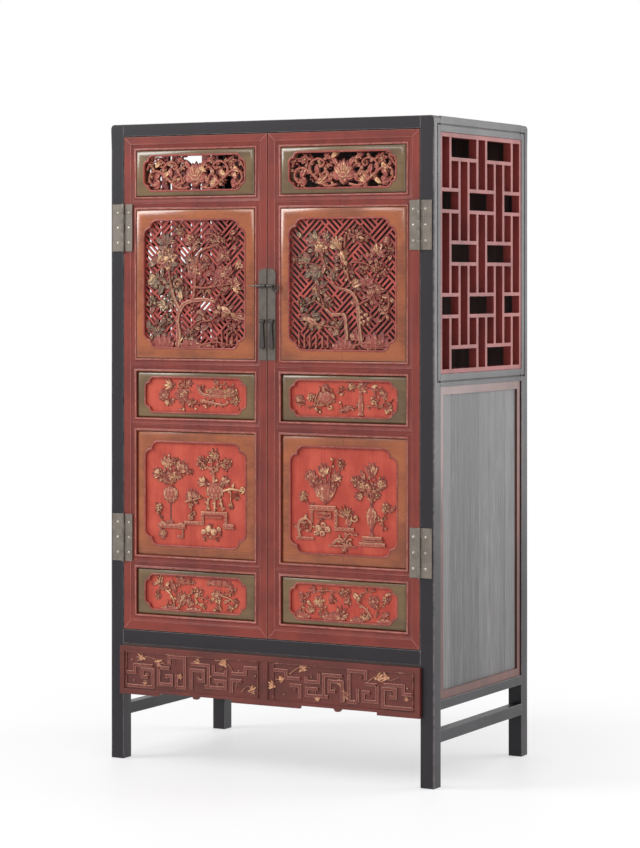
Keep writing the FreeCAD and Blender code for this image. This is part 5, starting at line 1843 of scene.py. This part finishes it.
@dataclass
class DoorFrame:
    """The stiles and rails of one door: mitred flat bands, and a moulding round each opening."""

    side: str
    arris: float = 0.6 * MM
    moulding: float = 19 * MM
    sunk: float = 3.6 * MM
    # The ring whose faces turn pale: wear on the bead top, partly a painted highlight.
    worn_highlight_ring: int = 11
    profile: tuple[tuple[float, float], ...] = (
        (18.9, 4.4), (18.9, 1.0), (18.4, 0.4), (17.6, 0.05), (16.7, 0.25), (16.0, 0.95), (15.3, 1.7), (8.2, 3.0),
        (7.7, 2.2), (6.6, 1.2), (5.0, 0.6), (3.2, 0.5), (1.5, 1.1), (0.3, 2.4), (-0.2, 3.6), (-0.2, 8.6),
        (3.0, 8.8))

    def build(self) -> None:
        """Make the timbers, the flat bands and the mouldings."""
        self.body = f"{self.side}_door"
        self.panels = [DoorPanel(self.side, name) for name in PANELS]
        self.build_timbers()
        self.build_bands()
        self.build_mouldings()

    def build_timbers(self) -> None:
        """Make the stiles and the rails behind the mouldings."""
        for stile in ("hinge", "meeting"):
            node = f"{self.side}_{stile}_stile"
            low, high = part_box(node)
            low.y += self.sunk
            work = Workpiece()
            work.block(low, high, self.arris, cuts=14)
            work.set_in(f"{node}_timber", FRAME_RED, self.body, [node], smooth=35, flat_faces=True)
        low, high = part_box(f"{self.side}_hinge_stile")
        levels = [low.z, *(level for panel in self.panels for level in (panel.low[1], panel.high[1])), high.z]
        work = Workpiece()
        for bottom, top in zip(levels[::2], levels[1::2]):
            work.block(Vector((self.panels[0].low[0], low.y + self.sunk, bottom)),
                       Vector((self.panels[0].high[0], high.y, top)), self.arris, cuts=8)
        work.set_in(f"{self.side}_rails", replace(FRAME_RED, grain=Grain.ACROSS), self.body,
                    [f"{self.side}_door_rails"], smooth=35, flat_faces=True)

    def build_bands(self) -> None:
        """Make the four flat bands round the door, mitred at its corners."""
        stiles = [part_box(f"{self.side}_{stile}_stile") for stile in ("hinge", "meeting")]
        left = min(low.x for low, _ in stiles)
        right = max(high.x for _, high in stiles)
        bottom, top = stiles[0][0].z, stiles[0][1].z
        outer = ((left, bottom), (right, bottom), (right, top), (left, top))
        reach = self.moulding
        near, far = self.panels[0], self.panels[-1]
        inner = ((near.low[0] - reach, near.low[1] - reach), (near.high[0] + reach, near.low[1] - reach),
                 (far.high[0] + reach, far.high[1] + reach), (far.low[0] - reach, far.high[1] + reach))
        for way, corners in ((Grain.ACROSS, (0, 2)), (Grain.UP, (1, 3))):
            work = Workpiece()
            for number in corners:
                after = (number + 1) % 4
                work.bar((outer[number], outer[after], inner[after], inner[number]), FRONT, FRONT + self.sunk,
                         self.arris)
            work.set_in(f"{self.side}_frame_bands_{way.name.lower()}", replace(FRAME_RED, grain=way), self.body,
                        smooth=35, flat_faces=True)

    def build_mouldings(self) -> None:
        """Make the moulding that runs round each opening."""
        work = Workpiece()
        for panel in self.panels:
            rings = [panel.outline(work, grow * MM, FRONT + depth * MM) for grow, depth in self.profile]
            work.bridge(rings, closed=True)
            # Paler bead top: partly wear, partly a painted highlight.
            work.wear_and_highlight((face for edge in rings[self.worn_highlight_ring] for face in edge.link_faces), 0.8)
        # Painted shade: the moulding's deep grooves are darkened.
        grooves = [vert for vert in work.mesh.verts if vert.co.y > FRONT + 2.7 * MM]
        work.mark(grooves, "dirt", 0.55)
        work.set_in(f"{self.side}_frame_mouldings", FRAME_RED, self.body, smooth=42, flat_faces=True)


@dataclass
class Carcass:
    """The posts, rails, stretchers and boards."""

    post_round: float = 3.5 * MM
    shoulder_round: float = 10 * MM
    arris: float = 1.6 * MM
    line_reach: float = 17 * MM
    line_width: float = 5.0 * MM
    line_depth: float = 2.5 * MM

    def build(self) -> None:
        """Make the timbers and dress the boards."""
        for side in SIDES:
            for row in ("front", "rear"):
                self.build_post(side, row)
        for node in ("front_top_rail", "rear_top_rail", "front_lower_rail", "rear_lower_rail",
                     "rear_middle_rail"):
            self.build_rail(node, 0, Grain.ACROSS)
        for side in SIDES:
            for kind in ("top_rail", "middle_rail", "lower_rail", "stretcher"):
                self.build_rail(f"{side}_{kind}", 1, Grain.BACK)
        dress("top_board", replace(BLACK, name="top_board", grain=Grain.ACROSS), 0.6 * MM)
        dress("back_boards", replace(WOOD, name="back_wood"), 0.6 * MM)
        for node in ("floor_board", "shelf_board", "shelf_and_floor_bearers", "door_stops", "apron_batten"):
            dress(node, replace(WOOD, grain=Grain.ACROSS), 0.6 * MM)
        for side in SIDES:
            dress(f"{side}_side_board", SIDE_GREY, 0.5 * MM)
            dress(f"{side}_lattice", LATTICE_RED, 0.9 * MM)
        dress("side_mouldings", MOULDING_RED, 1.2 * MM)

    def build_post(self, side: str, row: str) -> None:
        """Make one post, rounded at its outer arris.

        Args:
            side: left or right.
            row: front or rear.
        """
        node = f"{side}_{row}_post"
        low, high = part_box(node)
        work = Workpiece()
        work.block(low, high, 0.0, cuts=24)
        outer = Vector((low.x if side == "left" else high.x, low.y if row == "front" else high.y))
        shoulder = [edge for edge in work.mesh.edges
                    if all(abs(vert.co.x - outer.x) + abs(vert.co.z - high.z) < 0.001 for vert in edge.verts)]
        work.round_arrises(shoulder, self.shoulder_round, 5)
        corner = [edge for edge in work.mesh.edges
                  if all((vert.co.xy - outer).length < 0.001 for vert in edge.verts)]
        rest = [edge for edge in work.mesh.edges
                if edge not in corner and edge.calc_face_angle(0.0) > radians(30)]
        work.round_arrises(rest, self.arris)
        corner = [edge for edge in work.mesh.edges
                  if edge.is_valid and all((vert.co.xy - outer).length < 0.001 for vert in edge.verts)]
        work.round_arrises(corner, self.post_round, 4)
        self.line_post(work, side, row, outer.x)
        work.waver(0.3 * MM, 7)
        work.keep_within(low, high)
        work.set_in(f"{node}_timber", BLACK, "root", [node], smooth=35, flat_faces=True)

    def line_post(self, work: Workpiece, side: str, row: str, outer: float) -> None:
        """Cut the line that frames the lattice into one post.

        Args:
            work: the post.
            side: left or right.
            row: front or rear.
            outer: the place of its side face in X.
        """
        low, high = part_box(f"{side}_{row}_post")
        reach, wide = self.line_reach, self.line_width
        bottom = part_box(f"{side}_middle_rail")[1].z - reach
        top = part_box(f"{side}_lattice")[1].z + reach
        if row == "front":
            edge, inner = high.y - reach, high.y - self.arris
            run, turn = (edge - wide, edge), (edge, inner)
        else:
            edge, inner = low.y + reach, low.y + self.arris
            run, turn = (edge, edge + wide), (inner, edge)
        work.groove(1, run, (bottom - wide, top + wide), outer, self.line_depth)
        for level in (bottom - wide, top):
            work.groove(2, (level, level + wide), turn, outer, self.line_depth)

    def build_rail(self, node: str, way: int, grain: Grain) -> None:
        """Make one rail between its posts.

        Args:
            node: the node that it stands for.
            way: the axis that it runs along.
            grain: the way of its grain.
        """
        low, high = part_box(node)
        low[way] += TENON - 0.5 * MM
        high[way] -= TENON - 0.5 * MM
        work = Workpiece()
        box = (low.copy(), high.copy())
        work.block(low, high, self.arris, cuts=16)
        side = "left" if high.x < 0 else "right"
        outer = low.x if side == "left" else high.x
        span = (low.y + self.arris, high.y - self.arris)
        level = None
        if way == 1 and "top_rail" in node:
            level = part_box(f"{side}_lattice")[1].z + self.line_reach
        if way == 1 and "middle_rail" in node:
            level = high.z - self.line_reach - self.line_width
        if level is not None:
            work.groove(2, (level, level + self.line_width), span, outer, self.line_depth)
        work.waver(0.3 * MM, 7)
        work.keep_within(*box)
        work.set_in(f"{node}_timber", replace(BLACK, grain=grain), "root", [node], smooth=35, flat_faces=True)


@dataclass
class Hardware:
    """The hinges, the lock set and the pulls."""

    arris: float = 0.35 * MM

    def build(self) -> None:
        """Dress the brass."""
        for node in ("post_hinge_leaves", "hinge_pins", *(f"{side}_door_hinge_leaves" for side in SIDES)):
            dress(node, DARK_BRASS, self.arris)
        for node in ("left_lock_plate", "right_lock_plate", "lock_bolt"):
            dress(node, LOCK_BRASS, self.arris)
        for node in (f"{side}_{part}" for side in SIDES for part in ("lock_fittings", "pull")):
            dress(node, PULL_BRASS, self.arris)
        for node in ("post_hinge_nails", *(f"{side}_door_hinge_nails" for side in SIDES)):
            dress(node, NAIL_BRASS)


# The key fret of the apron's left half, and then the gilt leafy heads, tendrils and buds of both halves.
APRON_KEYS = read_plan("""
    bar 9 2.6,18 11.6,18 11.6,54 7.8,54 7.8,38 9.8,38 0 0 .97; 9 2.6,46 5.2,46 5.2,62 11.5,62 0 0 .97
    bar 9 13.6,60 13.6,26 18,26 18,44 15.8,44 0 0 .97; 9 13.6,60 17.4,60 0 0 .97
    bar 9 17.2,68 17.2,84 22.6,84 22.6,22 19.8,22 0 0 .97; 9 19.8,22 19.8,50 0 0 .97
    bar 9 24.8,20 24.8,60 29,60 29,40 27,40 0 0 .97; 9 24.8,72 30.8,72 30.8,30 0 0 .97
    bar 9 32.4,74 32.4,56 36.6,56 36.6,66 0 0 .97; 9 29.5,28 36.4,28 36.4,42 32.6,42 0 0 .97
    bar 9 38.6,20 38.6,46 42,46 0 0 .97; 9 38.6,60 43.2,60 43.2,74 47.2,74 0 0 .97
    curl 9.4,42 13 .9 0 3.4 .35 1; 16.2,42 12 .9 0 3.4 .35 -1; 19,72 14 .9 90 3.4 .35 1; 27.4,44 13 .9 180 3.4 .35 -1
    curl 35,66 13 .9 0 3.4 .35 1; 33.6,36 12 .9 90 3.4 .35 -1; 40.4,36 14 .9 0 3.4 .35 1; 46.4,58 12 .9 180 3.4 .35 1
    bar 2.2 2.2,14 2.2,88 47.4,88 47.4,14 .55 0 1
""")
APRON_HEADS = [row for place, turn, size in (
    ((8.5, 76), 160, 34), ((12.5, 72), -20, 30), ((36.5, 74), 130, 34), ((44.5, 26), 20, 32), ((8, 26), 10, 18),
    ((21.3, 50), 250, 20), ((26, 78), 0, 22), ((61.5, 76), 50, 34), ((53, 40), 160, 30), ((68, 26), 200, 24),
    ((75.5, 42), 290, 36), ((74.5, 54), 110, 20), ((86, 72), 20, 34), ((90, 76), 170, 30), ((95, 36), 20, 16),
    ((56, 58), 200, 22)) for row in (("spray", (place, turn, 70, 4, size, 6, 0.95, 1.0)),
                                     ("mound", (place, turn, size * 0.16, size * 0.12, 0.9, 1.02)))]
APRON_TENDRILS = read_plan("""
    branch 3.6 6,70 9,80 14,74 16,66 .8 .45 .98; 3.6 33,84 36,84 38.5,70 39,60 .8 .45 .98
    branch 3.6 42,24 44,36 46.5,30 .8 .45 .98; 3.6 58,68 61,82 65,84 .8 .45 .98; 3.6 74,60 75,48 78,36 .8 .45 .98
    branch 3.6 83,62 86,76 91,72 93.5,80 .8 .45 .98
    bud 4.2,72 6 .7; 5,30 6 .7; 31.5,50 6 .7; 41,66 6 .7; 56.2,26 6 .7; 66,56 6 .7; 79,26 6 .7; 96,58 6 .7
""")


@dataclass
class Apron:
    """The carved board under the doors."""

    field_depth: float = 4 * MM
    relief: float = 3.7 * MM

    def build(self) -> None:
        """Dress the board and carve it."""
        dress("apron", APRON_RED, 0.8 * MM)
        low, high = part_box("apron")
        ground = low.y + self.field_depth
        carver = Carver(low.x, low.z, high.x - low.x, high.z - low.z, ground, self.relief,
                        random.Random(f"{SEED}apron"))
        carver.follow([*APRON_KEYS, *mirrored(APRON_KEYS), *APRON_HEADS, *APRON_TENDRILS])
        # The hollow colour is painted shade in the carving's low parts; the pale colour and the strong rim paint
        # highlights on its tops and shoulders.
        finish = Gilding("apron_gilding", "gilded_carving", (108, 48, 40), (66, 34, 28), (196, 138, 76),
                         (184, 136, 118), ground, self.relief, spread=-0.04, rim=0.85)
        carver.work.set_in("apron_carving", finish, "root", smooth=30)


@dataclass
class Studio:
    """The camera, the floor and the lights."""

    place: tuple[float, float, float] = (3.659, -6.718, 1.349)
    turn: float = 28.553
    lens: float = 115.1
    shift_up: float = -0.172
    key: float = 160.0
    fill: float = 12.0
    front: float = 34.0
    top: float = 38.0
    sheen: float = 95.0
    world: float = 0.5
    aim: tuple[float, float, float] = (0, 0, 0.95)

    def build(self) -> None:
        """Set up the camera, the floor and the lights."""
        data = bpy.data.cameras.new("camera")
        data.lens = self.lens
        data.shift_y = self.shift_up
        camera = place_new("camera", data)
        camera.location = self.place
        camera.rotation_euler = (radians(90), 0, radians(self.turn))
        bpy.context.scene.camera = camera
        bpy.context.scene.view_settings.view_transform = "Standard"
        self.lay_floor()
        self.light("key", (-3.9, -2.9, 3.5), 2.0, self.key)
        self.light("fill", (2.75, -3.5, 1.85), 0.7, self.fill)
        self.light("front", (-0.5, -4.6, 3.6), 1.2, self.front)
        self.light("sheen", (3.0, 2.6, 1.7), 2.6, self.sheen)
        self.light("top", (0.3, -0.6, 4.2), 3.0, self.top)
        self.light_world()

    def light(self, name: str, place: Sequence[float], size: float, power: float) -> None:
        """Hang one soft box that points at the cabinet.

        Args:
            name: its name.
            place: where it hangs.
            size: its side.
            power: its power.
        """
        data = bpy.data.lights.new(name, "AREA")
        data.energy = power
        data.size = size
        lamp = place_new(name, data)
        lamp.location = place
        aim = Vector(self.aim) - lamp.location
        lamp.rotation_euler = aim.to_track_quat("-Z", "Y").to_euler()

    def light_world(self) -> None:
        """Light the room evenly and show it white."""
        room = Bench("room", room=True)
        bpy.context.scene.world = room.material
        level = room.add("ShaderNodeMapRange", {}, {"Value": room.seen(), "To Min": self.world, "To Max": 1.0})
        room.dress(Color=(1, 1, 1, 1), Strength=level)

    def lay_floor(self) -> None:
        """Lay a pale floor that fades into the white of the room."""
        mesh = bmesh.new()
        bmesh.ops.create_grid(mesh, x_segments=1, y_segments=1, size=20.0)
        data = bpy.data.meshes.new("floor")
        mesh.to_mesh(data)
        mesh.free()
        floor = place_new("floor", data)
        bench = Bench("floor")
        place = bench.place()
        far = bench.add("ShaderNodeVectorMath", {"operation": "LENGTH"}, {0: place}, out="Value")
        fade = (bench.between(far, 0.6, 1.9) * 0.45 + 0.55) * bench.seen()
        glow = bench.add("ShaderNodeEmission", {}, {"Color": (1, 1, 1, 1), "Strength": 1.0})
        bench.dress(Base_Color=linear((244, 244, 246)), Roughness=0.5)
        mixed = bench.add("ShaderNodeMixShader", {}, {0: fade, 1: Wire(bench, bench.shader.outputs[0]), 2: glow})
        bench.feed(bench.tree.nodes["Material Output"].inputs["Surface"], mixed)
        data.materials.append(bench.material)


def main() -> None:
    """Build the studio and the cabinet."""
    logging.basicConfig(level=logging.INFO, format="%(message)s")
    noise.seed_set(SEED)
    Studio().build()
    Carcass().build()
    for side in SIDES:
        DoorFrame(side).build()
        for name in PANELS:
            DoorPanel(side, name).build()
    Apron().build()
    Hardware().build()


if __name__ == "__main__":
    main()
